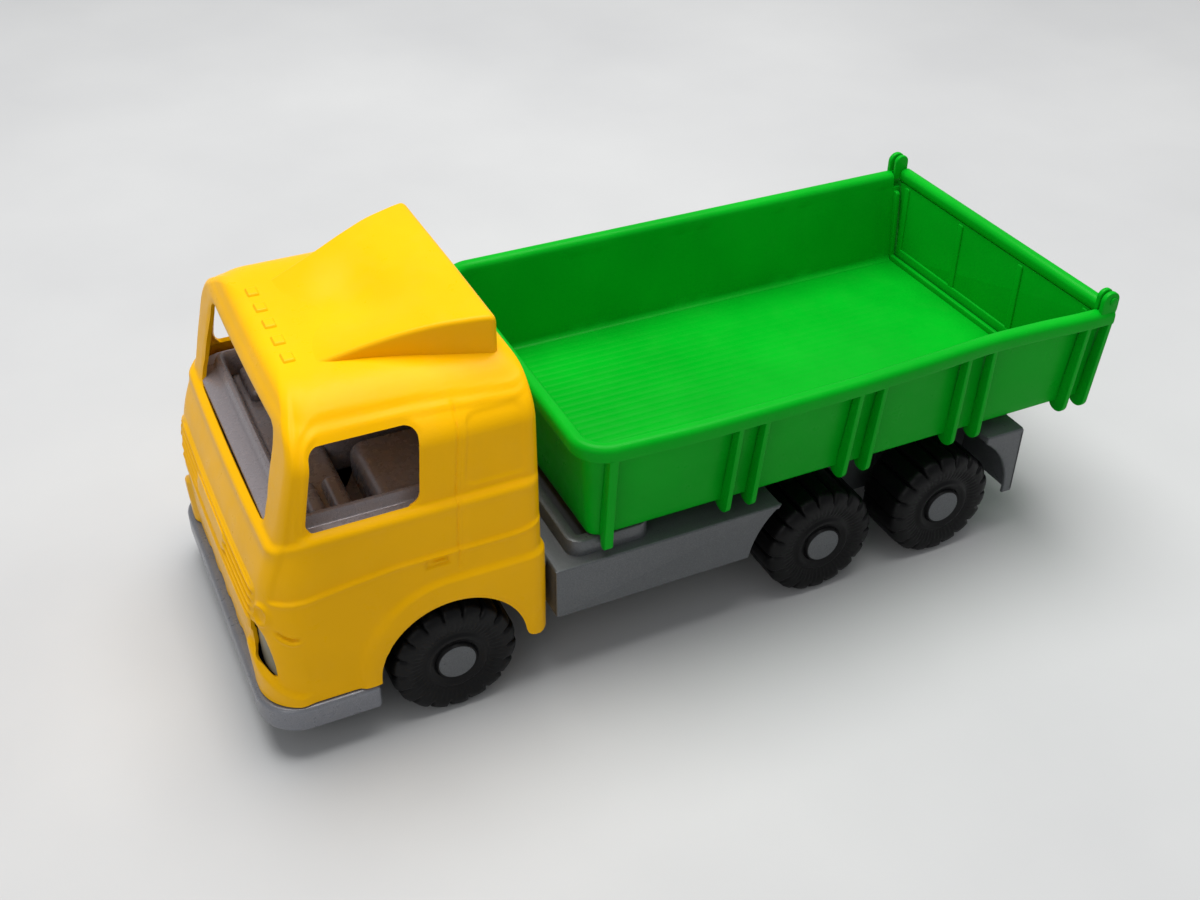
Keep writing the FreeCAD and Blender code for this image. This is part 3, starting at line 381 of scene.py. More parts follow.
def moulded_plastic(name, color, roughness, mottle, dust, grain=0.25, scratches=0.35, metal=0.0,
                    dust_color=(0.42, 0.39, 0.34, 1), flakes=0.0, shine=0.35):
    """Moulded plastic with uneven colour, hairline scratches, faint orange peel and settled dust."""
    material, tree, shader = new_material(name)
    socket(shader, "IOR", 1.5)
    socket(shader, "Metallic", metal)
    socket(shader, "Specular IOR Level", shine)
    deep = tuple(channel * (1 - mottle) for channel in color) + (1,)
    pale = tuple(min(1.0, channel * (1 + mottle * 0.5) + mottle * 0.01) for channel in color) + (1,)
    base = ramp(tree, noise(tree, 14.0, 5.0), 0.35, 0.68, deep, pale)
    if flakes:
        sparkle = ramp(tree, noise(tree, SPARKLE_SCALE, 2.0), 0.45, 0.62, grey(0), grey(flakes))
        bright = tuple(min(1, channel * 1.9) for channel in color) + (1,)
        base = blend_colors(tree, sparkle, base, bright)
    hairlines = ramp(tree, noise(tree, 60.0, 6.0, (1, 14, 14), 0.62), 0.66, 0.70, grey(0), grey(scratches))
    crossing = ramp(tree, noise(tree, 52.0, 6.0, (16, 2, 9), 0.62), 0.67, 0.71, grey(0), grey(scratches))
    scuffs = blend_colors(tree, 1.0, hairlines, crossing, "ADD")
    pale_scuff = tuple(0.92 * channel + 0.02 for channel in color) + (1,)
    base = blend_colors(tree, scuffs, base, pale_scuff)
    settled = ramp(tree, noise(tree, 38.0, 8.0, roughness=0.68), 0.50, 0.78, grey(0), grey(dust))
    base = blend_colors(tree, settled, base, dust_color)
    tree.links.new(base, shader.inputs["Base Color"])
    gloss = ramp(tree, noise(tree, 90.0, 8.0, roughness=0.7), 0.3, 0.75,
                 grey(max(roughness - 0.06, 0.05)), grey(min(roughness + 0.16, 1.0)))
    tree.links.new(gloss, shader.inputs["Roughness"])
    peel = tree.nodes.new("ShaderNodeBump")
    socket(peel, "Strength", grain)
    socket(peel, "Distance", PEEL_DEPTH)
    tree.links.new(noise(tree, PEEL_SCALE, 6.0, roughness=0.6), peel.inputs["Height"])
    marks = tree.nodes.new("ShaderNodeBump")
    socket(marks, "Strength", 0.25)
    socket(marks, "Distance", SCRATCH_DEPTH)
    marks.invert = True
    tree.links.new(scuffs, marks.inputs["Height"])
    tree.links.new(peel.outputs["Normal"], marks.inputs["Normal"])
    tree.links.new(marks.outputs["Normal"], shader.inputs["Normal"])
    return material


# material slot: colour, roughness, mottle, dust and what differs from a plain plastic
FINISH_TABLE = {
    "yellow_plastic": ((0.95, 0.485, 0.0), 0.30, 0.06, 0.02, {"scratches": 0.2, "shine": 0.08}),
    "green_plastic": ((0.0, 0.38, 0.012), 0.30, 0.10, 0.008, {"scratches": 0.2, "shine": 0.07}),
    # silver_plastic is set dark partly as painted shade: the skirt and deck lie in the bed's shade, while the
    # bumper gets a lighter copy below
    "silver_plastic": ((0.085, 0.09, 0.095), 0.32, 0.10, 0.03, {"flakes": 0.5, "metal": 0.2, "shine": 0.5}),
    "grey_plastic": ((0.27, 0.24, 0.25), 0.24, 0.06, 0.015,
                     {"grain": 0.1, "scratches": 0.12, "flakes": 0.3, "metal": 0.2, "shine": 0.5}),
    "headlight_grey": ((0.20, 0.20, 0.16), 0.3, 0.1, 0.04, {}),
    "black_plastic": ((0.002, 0.002, 0.0023), 0.38, 0.3, 0.012,
                      {"scratches": 0.02, "dust_color": (0.06, 0.056, 0.052, 1), "shine": 0.18}),
    "nylon": ((0.78, 0.75, 0.66), 0.42, 0.05, 0.04, {}),
    "case_plastic": ((0.035, 0.035, 0.04), 0.45, 0.2, 0.12, {}),
    "steel": ((0.50, 0.50, 0.51), 0.30, 0.10, 0.05, {"metal": 1.0}),
    "spring_steel": ((0.16, 0.17, 0.21), 0.30, 0.15, 0.05, {"metal": 1.0})}
FINISHES = {slot: moulded_plastic(slot + "_finish", *row[:4], **row[4]) for slot, row in FINISH_TABLE.items()}
# painted light: a lighter copy of the silver plastic for the bumper. It stands in for the light the bumper
# catches outside the bed's shade; the plastic is the same as the skirt's
LIT_BUMPER_FINISH = moulded_plastic("bumper_plastic_painted_light_finish", (0.18, 0.185, 0.205), 0.28, 0.05, 0.012, 0.08, 0.12,
                                flakes=0.35, metal=0.3, shine=0.5)


def finish_cad_nodes():
    """Every CAD node gets the finish of its material slot."""
    for part in frame["record"]["subparts"]:
        node = frame["nodes"][part["node"]]
        node.data.materials.clear()
        node.data.materials.append(FINISHES[part["material_slot"]])


# -------- cab

CAB_LOW, CAB_HIGH = cad_box("cab_shell")
CAB_FRONT, CAB_REAR, CAB_BOTTOM = CAB_LOW[1], CAB_HIGH[1], CAB_LOW[2]
FLARE_RAISE = 2.2
BODY_X = CAB_HIGH[0] - FLARE_RAISE
SHOULDER_Z, BROW_Z, ROOF_Z = 176.0, 190.0, CAB_HIGH[2] - 19.5
ROOF_FLAT_X = 50.0
SKIN = 2.4
ARCH_Y, ARCH_Z, ARCH_RADIUS = -162.5, 39.4, 42.0
BELT_Z, SILL_Z, FRONT_SILL_Z = 114.3, 143.0, 136.5
LEAD_END, SIDE_END = -198.5, -130.0
REAR_RADIUS = 10.0
# openings as corners: (x, z) on the front and (y, z) on the side
WINDSCREEN = ((-71.5, 137.0), (71.5, 137.0), (67.0, 190.0), (-67.0, 190.0))
SIDE_WINDOW = ((-234.2, 145.0), (-173.6, 145.4), (-169.8, 193.0), (-225.4, 193.2))
HEADLIGHT = ((79.0, 70.0), (97.6, 54.0), (97.6, 71.0), (92.0, 85.0), (80.0, 87.5))
# (middle, half width) of the notches in the front's lower edge
NOTCHES = ((12.0, 6.0), (39.0, 5.5))


def cab_half_width(z):
    """Half the width: nearly upright walls, then a quarter ellipse over to the flat of the roof."""
    wall = BODY_X + curve_through(z, [38, 70, 114, 148, SHOULDER_Z], [-0.8, 0, -0.3, -0.8, -1.6], 6)
    lift = np.clip((z - SHOULDER_Z) / (ROOF_Z - SHOULDER_Z), 0, 1)
    return np.where(z > SHOULDER_Z, ROOF_FLAT_X + (wall - ROOF_FLAT_X) * np.sqrt(1 - lift ** 2), wall)


def cab_front_y(z):
    """The front's place: upright below the belt, raked at the windscreen, rounded at the brow."""
    face = curve_through(z, [38, 60, 88, 114, 137, 190, 206],
                         [CAB_FRONT + 0.4, CAB_FRONT, CAB_FRONT + 1.5, -256.6, -247.4, -234.0, -230.0], 7)
    lift = np.clip((z - BROW_Z) / (ROOF_Z - BROW_Z), 0, 1)
    return face + 12.0 * (1 - np.sqrt(1 - lift ** 2))


def cab_rear_y(z):
    lift = np.clip((z - ROOF_Z + 10.0) / 10.0, 0, 1)
    return CAB_REAR - 9.0 * (1 - np.sqrt(1 - lift ** 2))


def cab_corner(z):
    return curve_through(z, [38, 114, 140, 158, 185, 206], [24, 22, 19, 16, 15, 16], 5)


def cab_columns():
    """Columns round half of the cab, front middle to rear middle: (segment, place in it)."""
    front = [("front", share) for share in np.linspace(0, 1, 31)[:-1]]
    corner = [("corner", angle) for angle in np.linspace(0, QUARTER, 25)]
    lead = [("lead", share) for share in np.linspace(0, 1, 17)[1:-1]]
    stops = np.concatenate([np.arange(-197, -178, 2.2), np.arange(-178, -158.5, 1.3),
                            np.arange(-158.5, -144, 0.75), np.arange(-144, SIDE_END, 1.8)])
    side = [("side", y) for y in stops]
    tail = [("tail", share) for share in np.linspace(0, 1, 9)[:-1]]
    rear_corner = [("rear_corner", angle) for angle in np.linspace(0, QUARTER, 8)]
    rear = [("rear", share) for share in np.linspace(0, 1, 14)[1:]]
    return front + corner + lead + side + tail + rear_corner + rear


def cab_plan(segment, place, z):
    """Position of a column at heights z, and how far it has turned the front corner."""
    half, front, radius = cab_half_width(z), cab_front_y(z), cab_corner(z)
    rear = cab_rear_y(z)
    turn = np.ones_like(z)
    if segment == "front":
        x, y, turn = (half - radius) * place, front, 0 * z
    elif segment == "corner":
        x = half - radius + radius * math.sin(place)
        y = front + radius - radius * math.cos(place)
        turn = place / (QUARTER) + 0 * z
    elif segment == "lead":
        x, y = half, front + radius + (LEAD_END - front - radius) * place
    elif segment == "side":
        x, y = half, place + 0 * z
    elif segment == "tail":
        x, y = half, SIDE_END + (rear - REAR_RADIUS - SIDE_END) * place
    elif segment == "rear_corner":
        x = half - REAR_RADIUS + REAR_RADIUS * math.cos(place)
        y = rear - REAR_RADIUS + REAR_RADIUS * math.sin(place)
    else:
        x, y = (half - REAR_RADIUS) * (1 - place), rear
    bow = 2.0 * (1 - (x / BODY_X) ** 2) * rise(z, 60, 40) * (1 - ease(turn))
    return x, y - bow * (y < -180), turn


def side_relief(y, z, turn):
    """How far the side stands proud of its plain form: belt, sill, window frame and drip lines."""
    turned = ease((turn - 0.34) / 0.10)
    belt_drop = curve_through(y, [-262, -248, -217, -190, -124, -112], [-7.6, -7.0, -2.8, 0, 0, 2.7], 4)
    belt_line = BELT_Z + belt_drop
    relief = (0.5 * bump(z, belt_line - 1.3, 1.5) - 1.4 * rise(z, belt_line, 1.5)) * turned
    shoulder = FRONT_SILL_Z + (SILL_Z - FRONT_SILL_Z) * ease(turn)
    relief -= 1.6 * rise(z, shoulder, 3.4)
    relief += 0.5 * bump(z, shoulder - 3.0, 2.2)
    pillar_y = curve_through(z, [149, 172, 184, 193, 202], [-238.6, -234.8, -232.8, -230.8, -227.0])
    front_line = y - pillar_y
    roof_line = curve_through(y, [-208, -166, -110], [200.8, 199.9, 197.0], 4) - z
    inside = rounded_all([front_line, roof_line], 14.0)
    frame_depth = 0.9 * ease(inside / 1.4) + 0.8 * ease((inside - 4.0) / 1.4)
    relief -= frame_depth * rise(z, SILL_Z + 1.0, 2.0) * ease((turn - 0.12) / 0.12)
    return relief * ease(turn * 2)


def side_details(y, z):
    """Flare round the wheel, door seam, sleeper panel and door handle."""
    flare = rounded_all([half_plane(y, z, (-213.2, 70.0), (-217.0, 38.0)), 99.2 - z], 46.0)
    relief = FLARE_RAISE * ease(flare / 4.5)
    seam_y = curve_through(z, [100, 141, 195], [-157, -154.8, -149.5])
    seam = 0.8 * bump(y, seam_y, 0.75) + 0.3 * bump(y, seam_y + 2.4, 0.8)
    relief -= seam * rise(z, 102, 3) * (1 - rise(z, 196, 3))
    sleeper = rounded_all([y - seam_y - 4.0, -113.0 - y, z - 148.5, 192.0 - z], 6.0)
    relief -= 0.7 * ease(sleeper / 1.6)
    recess = box_distance(y, z, (-168.2, 109.6), (7.2, 3.6), 1.5)
    grip = box_distance(y, z, (-167.2, 109.2), (4.6, 1.3), 0.8)
    relief -= 1.2 * ease(-recess / 1.3)
    relief += 1.1 * ease(-grip / 0.9)
    return relief


def corner_details(x, y, z, turn):
    """Creases, the lip under the headlight and the small indicator at the front corner."""
    relief = -0.35 * bump(y, -241.0, 0.9) * rise(z, 46, 6) * (1 - rise(z, 136, 6)) * rise(turn, 0.8, 0.3)
    crease_z = curve_through(turn, [0.5, 0.62, 0.75, 0.9, 1.0], [88.5, 85.5, 83.4, 83.6, 84.2])
    crease = 0.9 * bump(z, crease_z - 1.5, 1.2) - 1.6 * bump(z, crease_z + 1.0, 1.0)
    relief += crease * rise(turn, 0.52, 0.10) * (1 - rise(y, -244.0, 3.0))
    out = np.abs(x)
    lip_z = curve_through(out, [70, 79, 86, 90, 95, 98.5, 101.6, 104],
                          [70.5, 69.5, 66.0, 61.0, 56.0, 52.0, 48.8, 46.5])
    lip = (1 - rise(z, lip_z - 1.2, 2.2)) * rise(out, 72.5, 4.0) * (1 - rise(turn, 0.86, 0.24))
    relief += 2.4 * lip
    ring = np.hypot((out - 91.5) / 4.4, (z - 96.5) / 5.6)
    relief += 1.5 * bump(ring, 1.0, 0.26) * (1 - rise(turn, 0.7, 0.2))
    return relief


SLAT_Z, SLAT_PITCH = 86.0, 4.95


def front_relief(x, z):
    """The grille panel with its slats and blank badge plate, and the rounded lip under the windscreen."""
    panel = box_distance(x, z, (0, 93.0), (85.0, 16.5), 4.0)
    slats = 0.5 + 0.5 * np.cos((z - SLAT_Z) / SLAT_PITCH * 2 * math.pi)
    on_slats = ease(-box_distance(x, z, (0, 96.0), (82.0, 12.6), 3.0) / 2.0)
    badge = ease(-box_distance(x, z, (0, 98.5), (33.0, 6.0), 4.5) / 1.0)
    pattern = on_slats * (2.2 * (slats - 0.6) * (1 - badge) + 1.2 * badge)
    lip = 1.2 * bump(z, 133.0, 2.6) - 1.6 * rise(z, 136.0, 3.0)
    return 0.9 * ease(-panel / 1.6) + pattern + lip


def polygon_distance(u, v, corners, radius):
    """Signed distance to a rounded convex opening, negative inside; its corners run anticlockwise."""
    sides = [half_plane(u, v, corners[n - 1], corners[n]) for n in range(len(corners))]
    return -rounded_all(sides, radius)


FAR = 50.0
LEG_RADIUS = 6.0


def cab_openings(x, y, z, on_front, on_side):
    """Distance to the nearest opening, negative inside one."""
    windscreen = np.where(on_front, polygon_distance(x, z, WINDSCREEN, 5.5), FAR)
    light = np.where(on_front, polygon_distance(np.abs(x), z, HEADLIGHT, 3.0), FAR)
    window = np.where(on_side, polygon_distance(y, z, SIDE_WINDOW, 6.5), FAR)
    away = np.where(z > ARCH_Z, np.hypot(y - ARCH_Y, z - ARCH_Z), np.abs(y - ARCH_Y))
    arch = away - ARCH_RADIUS
    leg_y, leg_z = ARCH_Y + ARCH_RADIUS + LEG_RADIUS, CAB_BOTTOM + LEG_RADIUS
    in_leg = (z < leg_z) & (y < leg_y) & (y > ARCH_Y)
    arch = np.where(in_leg, np.minimum(arch, LEG_RADIUS - np.hypot(y - leg_y, z - leg_z)), arch)
    arch = np.where(on_side, arch, FAR)
    notches = [box_distance(np.abs(x), z, (middle, CAB_BOTTOM), (half, 3.5), 1.0) for middle, half in NOTCHES]
    notch = np.where(on_front, np.minimum.reduce(notches), FAR)
    return np.minimum.reduce([windscreen, light, window, arch, notch])


def cab_rows():
    """Heights of the rows: even up the walls, then even in angle over the shoulder."""
    shoulder = SHOULDER_Z + (ROOF_Z - SHOULDER_Z) * np.sin(np.radians(np.arange(2.5, 90.1, 2.5)))
    return np.concatenate([
        np.arange(CAB_BOTTOM, 74, 1.25), np.arange(74, 118, 0.7),
        np.arange(118, 132, 2.2), np.arange(132, 152, 1.0), np.arange(152, SHOULDER_Z - 1, 2.4), shoulder])


def grid_normals(points):
    """Outward normals of a (rows, columns) grid whose columns run anticlockwise seen from above."""
    along = np.gradient(points, axis=1)
    up = np.gradient(points, axis=0)
    normals = np.cross(along, up)
    return normals / np.maximum(np.linalg.norm(normals, axis=2, keepdims=True), 1e-9)


def make_cab():
    columns = cab_columns()
    z = cab_rows()
    layers = [cab_plan(segment, place, z) for segment, place in columns]
    x, y, turn = (np.stack([layer[item] for layer in layers], axis=1) for item in range(3))
    z = np.repeat(z[:, None], len(columns), axis=1)
    kinds = np.array([segment for segment, _ in columns])
    on_front = np.isin(kinds, ("front", "corner"))[None, :] & (turn < 0.62)
    on_side = np.isin(kinds, ("corner", "lead", "side", "tail", "rear_corner"))[None, :] & (turn > 0.4)
    relief = side_relief(y, z, turn)
    relief += np.where(on_side, side_details(y, z), 0)
    relief += np.where(on_front | on_side, corner_details(x, y, z, turn), 0)
    relief += np.where(turn < 0.5, front_relief(x, z) * (1 - ease(turn * 2)), 0)
    behind = [{"rear": 1.0, "rear_corner": place / QUARTER}.get(segment, 0.0) for segment, place in columns]
    behind = np.array(behind)[None, :]
    relief = relief * (1 - ease(behind)) + FLARE_RAISE * (1 - rise(z, 97.0, 4.5)) * ease(behind)
    openings = cab_openings(x, y, z, on_front, on_side)
    relief -= 0.9 * ease(1 - np.maximum(openings, 0) / 2.2)
    relief *= 1 - rise(z, 201.5, 7.0)
    walls = np.stack([x, y, z], axis=-1)
    walls = walls + grid_normals(walls) * relief[..., None]
    # rings from the roof's rounded edge to its middle line, which dips under the deflector
    edge = walls[-1]
    rings = []
    for share in (0.05, 0.12, 0.22, 0.35, 0.5, 0.7, 1.0):
        middle_y = np.clip(edge[:, 1], -162.0, -148.0)
        rings.append(np.column_stack([edge[:, 0] * (1 - share), edge[:, 1] + (middle_y - edge[:, 1]) * share,
                                      edge[:, 2] - 2.5 * ease(share * 2 - 1)]))
    half = np.concatenate([walls, np.stack(rings)], axis=0)
    mirrored = half[:, ::-1] * MIRROR
    points = np.concatenate([half, mirrored[:, 1:-1]], axis=1)
    distance = np.full(half.shape[:2], FAR)
    distance[:openings.shape[0]] = openings
    distance = np.concatenate([distance, distance[:, ::-1][:, 1:-1]], axis=1)
    points, faces = open_grid(points, distance)
    points, faces = drop_unused(points, faces)
    points, faces = thicken(points, faces, SKIN)
    shell = make_object("cab_moulding", points, faces, "chassis", "yellow_plastic", 50.0)
    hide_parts("cab_shell")


# the deflector's upper side edge as (y, z, half width), and its spine as (y, z)
DEFLECTOR_SIDE = ((-208.0, 204.5, 46.0), (-192.0, 209.6, 49.5), (-179.0, 213.6, 52.5), (-161.0, 219.0, 58.0),
                  (-143.5, 223.0, 64.0), (-124.0, 224.7, 69.5), (-116.8, 224.6, 71.5))
DEFLECTOR_SPINE = ((-208.0, 204.0), (-176.0, 206.6), (-165.0, 209.5), (-148.0, 218.5), (-132.0, 224.0),
                   (-116.8, 225.2))
DEFLECTOR_ROUND = 2.6
DEFLECTOR_BASE = 196.0


def deflector_section(y, inset):
    """Half of the cross-section at y, from the base up the side and over to the middle, moved in by inset."""
    places = [row[0] for row in DEFLECTOR_SIDE]
    half = curve_through(y, places, [row[2] for row in DEFLECTOR_SIDE], 5) - inset
    edge = curve_through(y, places, [row[1] for row in DEFLECTOR_SIDE], 5) - inset
    spine_y, spine_z = zip(*DEFLECTOR_SPINE)
    spine = curve_through(y, spine_y, spine_z, 5) - inset
    radius, base = DEFLECTOR_ROUND, DEFLECTOR_BASE
    side = [(half, base + (edge - radius - base) * share) for share in (0, 0.3, 0.6, 0.8, 1.0)]
    for angle in np.linspace(0, QUARTER, 7)[1:]:
        side.append((half - radius * (1 - math.cos(angle)), edge - radius + radius * math.sin(angle)))
    across = 1 - np.linspace(0, 1, 25)[1:]
    reach = side[-1][0]
    side += [(reach * share, spine + (edge - spine) * ease(share)) for share in across]
    return np.array(side)


def make_deflector():
    """The air deflector: its sides grow out of the roof and its top sweeps up to a square rear edge."""
    front_y, rear_y = DEFLECTOR_SIDE[0][0], DEFLECTOR_SIDE[-1][0]
    radius = 4.0
    stations = [(y, 0.0) for y in np.linspace(front_y, rear_y - radius, 48)]
    for angle in np.linspace(0, QUARTER, 8)[1:]:
        stations.append((rear_y - radius + radius * math.sin(angle), radius * (1 - math.cos(angle))))
    rows = []
    for y, inset in stations:
        half = deflector_section(y, inset)
        whole = np.concatenate([half, half[::-1][1:] * np.array([-1.0, 1.0])])
        rows.append(np.column_stack([whole[:, 0], np.full(len(whole), y), whole[:, 1]]))
    last = rows[-1]
    for share in (0.3, 0.7, 1.0):
        drop = last.copy()
        drop[:, 2] += (DEFLECTOR_BASE - drop[:, 2]) * share
        rows.append(drop)
    points = np.concatenate(rows)
    faces = [tuple(reversed(face)) for face in grid_faces(len(rows), len(rows[0]))]
    make_object("cab_deflector", points, faces, "chassis", "yellow_plastic", 55.0)


MARKERS = 5
MARKER_PITCH = 18.0
MARKER_HALF_X, MARKER_HALF_Y = 5.6, 3.9
MARKER_Y, MARKER_HEIGHT, MARKER_SINK = -216.0, 1.3, 1.2


def make_roof_markers():
    """Five soft square bosses in a row behind the windscreen's top edge."""
    across, along = 21, 17
    u, v = np.meshgrid(np.linspace(-1, 1, across), np.linspace(-1, 1, along), indexing="xy")
    swell = ease((1 - u ** 2) * 1.6) * ease((1 - v ** 2) * 1.6)
    z = ROOF_Z - MARKER_SINK + (MARKER_HEIGHT + MARKER_SINK) * swell
    bosses = []
    for number in range(MARKERS):
        x = (number - (MARKERS - 1) / 2) * MARKER_PITCH
        boss = np.stack([x + u * MARKER_HALF_X, MARKER_Y + v * MARKER_HALF_Y, z], axis=-1)
        bosses.append((boss, grid_faces(along, across)))
    points, faces = joined(bosses)
    make_object("roof_markers", points, faces, "chassis", "yellow_plastic", 40.0)


# -------- bed

BED_LOW, BED_HIGH = cad_box("bed_body")
RIM_X, RIM_FRONT = BED_HIGH[0], BED_LOW[1]
BED_REAR = 262.0
BED_BOTTOM, FLOOR_Z, RIM_BOTTOM, RIM_TOP = 88.9, 91.9, 147.4, 156.8
RIM_ROUND = 4.0
RIM_CORNER = 20.0
# how far a wall face lies inside the rim's outline at its foot and its top: (at the front, more at the sides)
OUTER_FOOT, OUTER_TOP = (10.0, 3.0), (6.0, 1.0)
INNER_FOOT, INNER_TOP = (12.8, 3.0), (8.8, 0.8)
# the walls step back behind ROOM_Y and above ROOM_Z for the tailgate
ROOM_Y, ROOM_Z, ROOM_INSET = 252.4, 146.6, 5.6
BED_PIN = cad_middle("bed_hinge_pin")
TIP_LUG = (40.0, 45.0)
PEG_Y, PEG_Z = 258.5, 163.4
POST_Y = (-71.3, 3.5, 20.0, 81.1, 97.5, 158.6, 177.4, 244.6, 260.4)


def wall_bow(x, y, z):
    """The seen side wall is not quite straight: it leans out near the cab and in near the rear wheels."""
    bow = curve_through(y, [-89, -60, -19, 81, 130, 177, 220, 240], [0, 1.5, 3.5, 2.5, 0, -3.5, -2.0, 0], 12)
    return np.where(x > 60, bow * ease((z - FLOOR_Z) / (RIM_BOTTOM - FLOOR_Z)), 0)


def bed_columns():
    """Places round half of the bed's U, front middle to rear: x, y on the rim and the way out in x, y."""
    straight = RIM_X - RIM_CORNER
    front = [(x, RIM_FRONT, 0.0, -1.0) for x in np.linspace(0, straight, 26)[:-1]]
    corner = [(straight + RIM_CORNER * math.sin(angle), RIM_FRONT + RIM_CORNER - RIM_CORNER * math.cos(angle),
               math.sin(angle), -math.cos(angle)) for angle in np.linspace(0, QUARTER, 14)]
    stops = np.concatenate([np.arange(RIM_FRONT + RIM_CORNER + 3, ROOM_Y - 1, 4.0),
                            [ROOM_Y - 0.1, ROOM_Y + 0.1, 257.0, BED_REAR]])
    return front + corner + [(RIM_X, y, 1.0, 0.0) for y in stops]


def bed_rows():
    """The wall's section from the floor inside, over the rim, to the bottom outside: (kind, offset, z)."""
    turn = np.linspace(0, QUARTER, 7)
    rows = [("floor", 3 * (1 - math.sin(angle)), FLOOR_Z + 3 * (1 - math.cos(angle))) for angle in turn[::2]]
    levels = [np.linspace(FLOOR_Z + 4, ROOM_Z - 0.1, 14), [ROOM_Z + 0.1],
              np.linspace(148.5, RIM_TOP - RIM_ROUND, 3)]
    rows += [("inner", 0.0, z) for z in np.concatenate(levels)]
    rows += [("inner", -RIM_ROUND * (1 - math.cos(angle)), RIM_TOP - RIM_ROUND + RIM_ROUND * math.sin(angle))
             for angle in turn[1:]]
    rows += [("rim", RIM_ROUND * (1 - math.sin(angle)), RIM_TOP - RIM_ROUND + RIM_ROUND * math.cos(angle))
             for angle in turn]
    rows += [("rim", 0.0, 149.0), ("rim", 0.3, RIM_BOTTOM + 0.3), ("rim", 1.0, RIM_BOTTOM)]
    rows += [("outer", -1.2, RIM_BOTTOM), ("outer", -0.3, RIM_BOTTOM - 0.3), ("outer", 0.0, RIM_BOTTOM - 1.2)]
    rows += [("outer", 0.0, z) for z in np.linspace(142, BED_BOTTOM + 2, 10)]
    rows += [("outer", 2 * (1 - math.cos(angle)), BED_BOTTOM + 2 - 2 * math.sin(angle))
             for angle in turn[2::2]]
    return rows


def wall_inset(foot, top, side, height):
    """How far a wall face lies inside the rim's outline at a height from 0 to 1."""
    return (foot[0] + foot[1] * side) * (1 - height) + (top[0] + top[1] * side) * height


def bed_walls():
    columns = np.array(bed_columns())
    side = columns[:, 2] ** 2
    rings = []
    for kind, offset, z in bed_rows():
        height = (z - BED_BOTTOM) / (RIM_TOP - BED_BOTTOM)
        if kind == "rim":
            inward = np.full(len(columns), offset)
        elif kind == "outer":
            inward = offset + wall_inset(OUTER_FOOT, OUTER_TOP, side, height)
        else:
            inward = offset + wall_inset(INNER_FOOT, INNER_TOP, side, height)
            if kind == "inner":
                posts = sum(bump(columns[:, 1], y, 3.0) for y in POST_Y[1:])
                inward -= 0.5 * posts * side * (z < RIM_BOTTOM)
            if z > ROOM_Z:
                inward = np.where(columns[:, 1] > ROOM_Y, np.minimum(inward, ROOM_INSET), inward)
        x, y = columns[:, 0] - columns[:, 2] * inward, columns[:, 1] - columns[:, 3] * inward
        rings.append(np.column_stack([x, y, np.full(len(columns), z)]))
    half = np.stack(rings)
    points = np.concatenate([half[:, ::-1], half[:, 1:] * MIRROR], axis=1)
    rows, count = points.shape[:2]
    faces = grid_faces(rows, count)
    faces.append(tuple(row * count for row in range(rows)))
    faces.append(tuple(row * count + count - 1 for row in reversed(range(rows))))
    faces.append(tuple((rows - 1) * count + column for column in range(count)))
    return points.reshape(-1, 3), faces


def bed_floor():
    """The ribbed floor and its rear edge."""
    pitch, samples, half = 6.3, 8, 96.0
    x = np.linspace(-half, half, int(2 * half / pitch) * samples + 1)
    y = np.concatenate([[-77.0, -73.0, -71.0], np.linspace(-60, 240, 16), [250.0, BED_REAR - 0.5, BED_REAR]])
    wave = 0.5 - 0.5 * np.cos(x / pitch * 2 * math.pi)
    fade = rise(y, -72.0, 5.0) * (1 - rise(y, 249.0, 3.0))
    fade = fade * (0.35 + 0.65 * (1 - rise(y, 60.0, 140.0)))
    z = FLOOR_Z - 0.1 + 0.28 * fade[:, None] * ease(wave[None, :] * 1.5)
    z[-1] -= 0.4
    points = np.stack([np.repeat(x[None], len(y), axis=0), np.repeat(y[:, None], len(x), axis=1), z], axis=-1)
    edge = points[-1].copy()
    edge[:, 2] = BED_BOTTOM
    points = np.concatenate([points, edge[None]])
    return points.reshape(-1, 3), grid_faces(len(y) + 1, len(x))


def bed_post(y, inner=93.0, half=1.6):
    """An upright post: it hangs from the rim and ends in a half-round foot below the floor."""
    outer, base = 107.0, BED_BOTTOM + 1.0
    radius = (outer - inner) / 2
    low = base - max(radius, 6.5)
    corners = [(105.5, RIM_BOTTOM + 0.6, 0), (99.0, base + 1, 0), (inner, base + 0.5, 0),
               (inner, low, radius * 0.98), (outer, low, radius * 0.98), (outer, base, 0),
               (RIM_X - 0.5, RIM_BOTTOM + 0.6, 0)]
    return prism(corners, along_y, y - half, y + half, 0.6)


def bed_fittings():
    """Posts, tailgate stops, ears for the tailgate's pegs and lugs for the tipping pin."""
    blocks = [bed_post(POST_Y[0], 100.6, 2.6)] + [bed_post(y) for y in POST_Y[1:]]
    stop = [(94.0, 90.5, 0), (98.5, 90.5, 0), (103.5, 144.0, 2), (97.5, 144.0, 2)]
    blocks.append(prism(stop, along_y, ROOM_Y + 0.4, ROOM_Y + 3.4, 0.5))
    pin_y, pin_z = BED_PIN[1], BED_PIN[2]
    lug = [(pin_y - 6, pin_z - 6, 5.9), (pin_y + 6, pin_z - 6, 5.9), (pin_y + 6, BED_BOTTOM + 1, 0),
           (pin_y - 6, BED_BOTTOM + 1, 0)]
    blocks.append(prism(lug, along_x, TIP_LUG[0], TIP_LUG[1], 0.6))
    ear = [(PEG_Y - 7.0, 151.0, 0), (PEG_Y + 3.5, 151.0, 0), (PEG_Y + 5.0, 157.0, 3),
           (PEG_Y + 5.0, PEG_Z + 5.8, 5.9), (PEG_Y - 7.0, PEG_Z + 5.8, 5.9)]
    blocks.append(prism(ear, along_x, 107.4, 110.9, 0.9))
    sill = block((-96, 96), (FLOOR_Z - 0.5, FLOOR_Z + 4.0), 1.2)
    return both_sides(blocks) + [prism(sill, along_y, ROOM_Y + 0.4, ROOM_Y + 3.4, 0.8)]


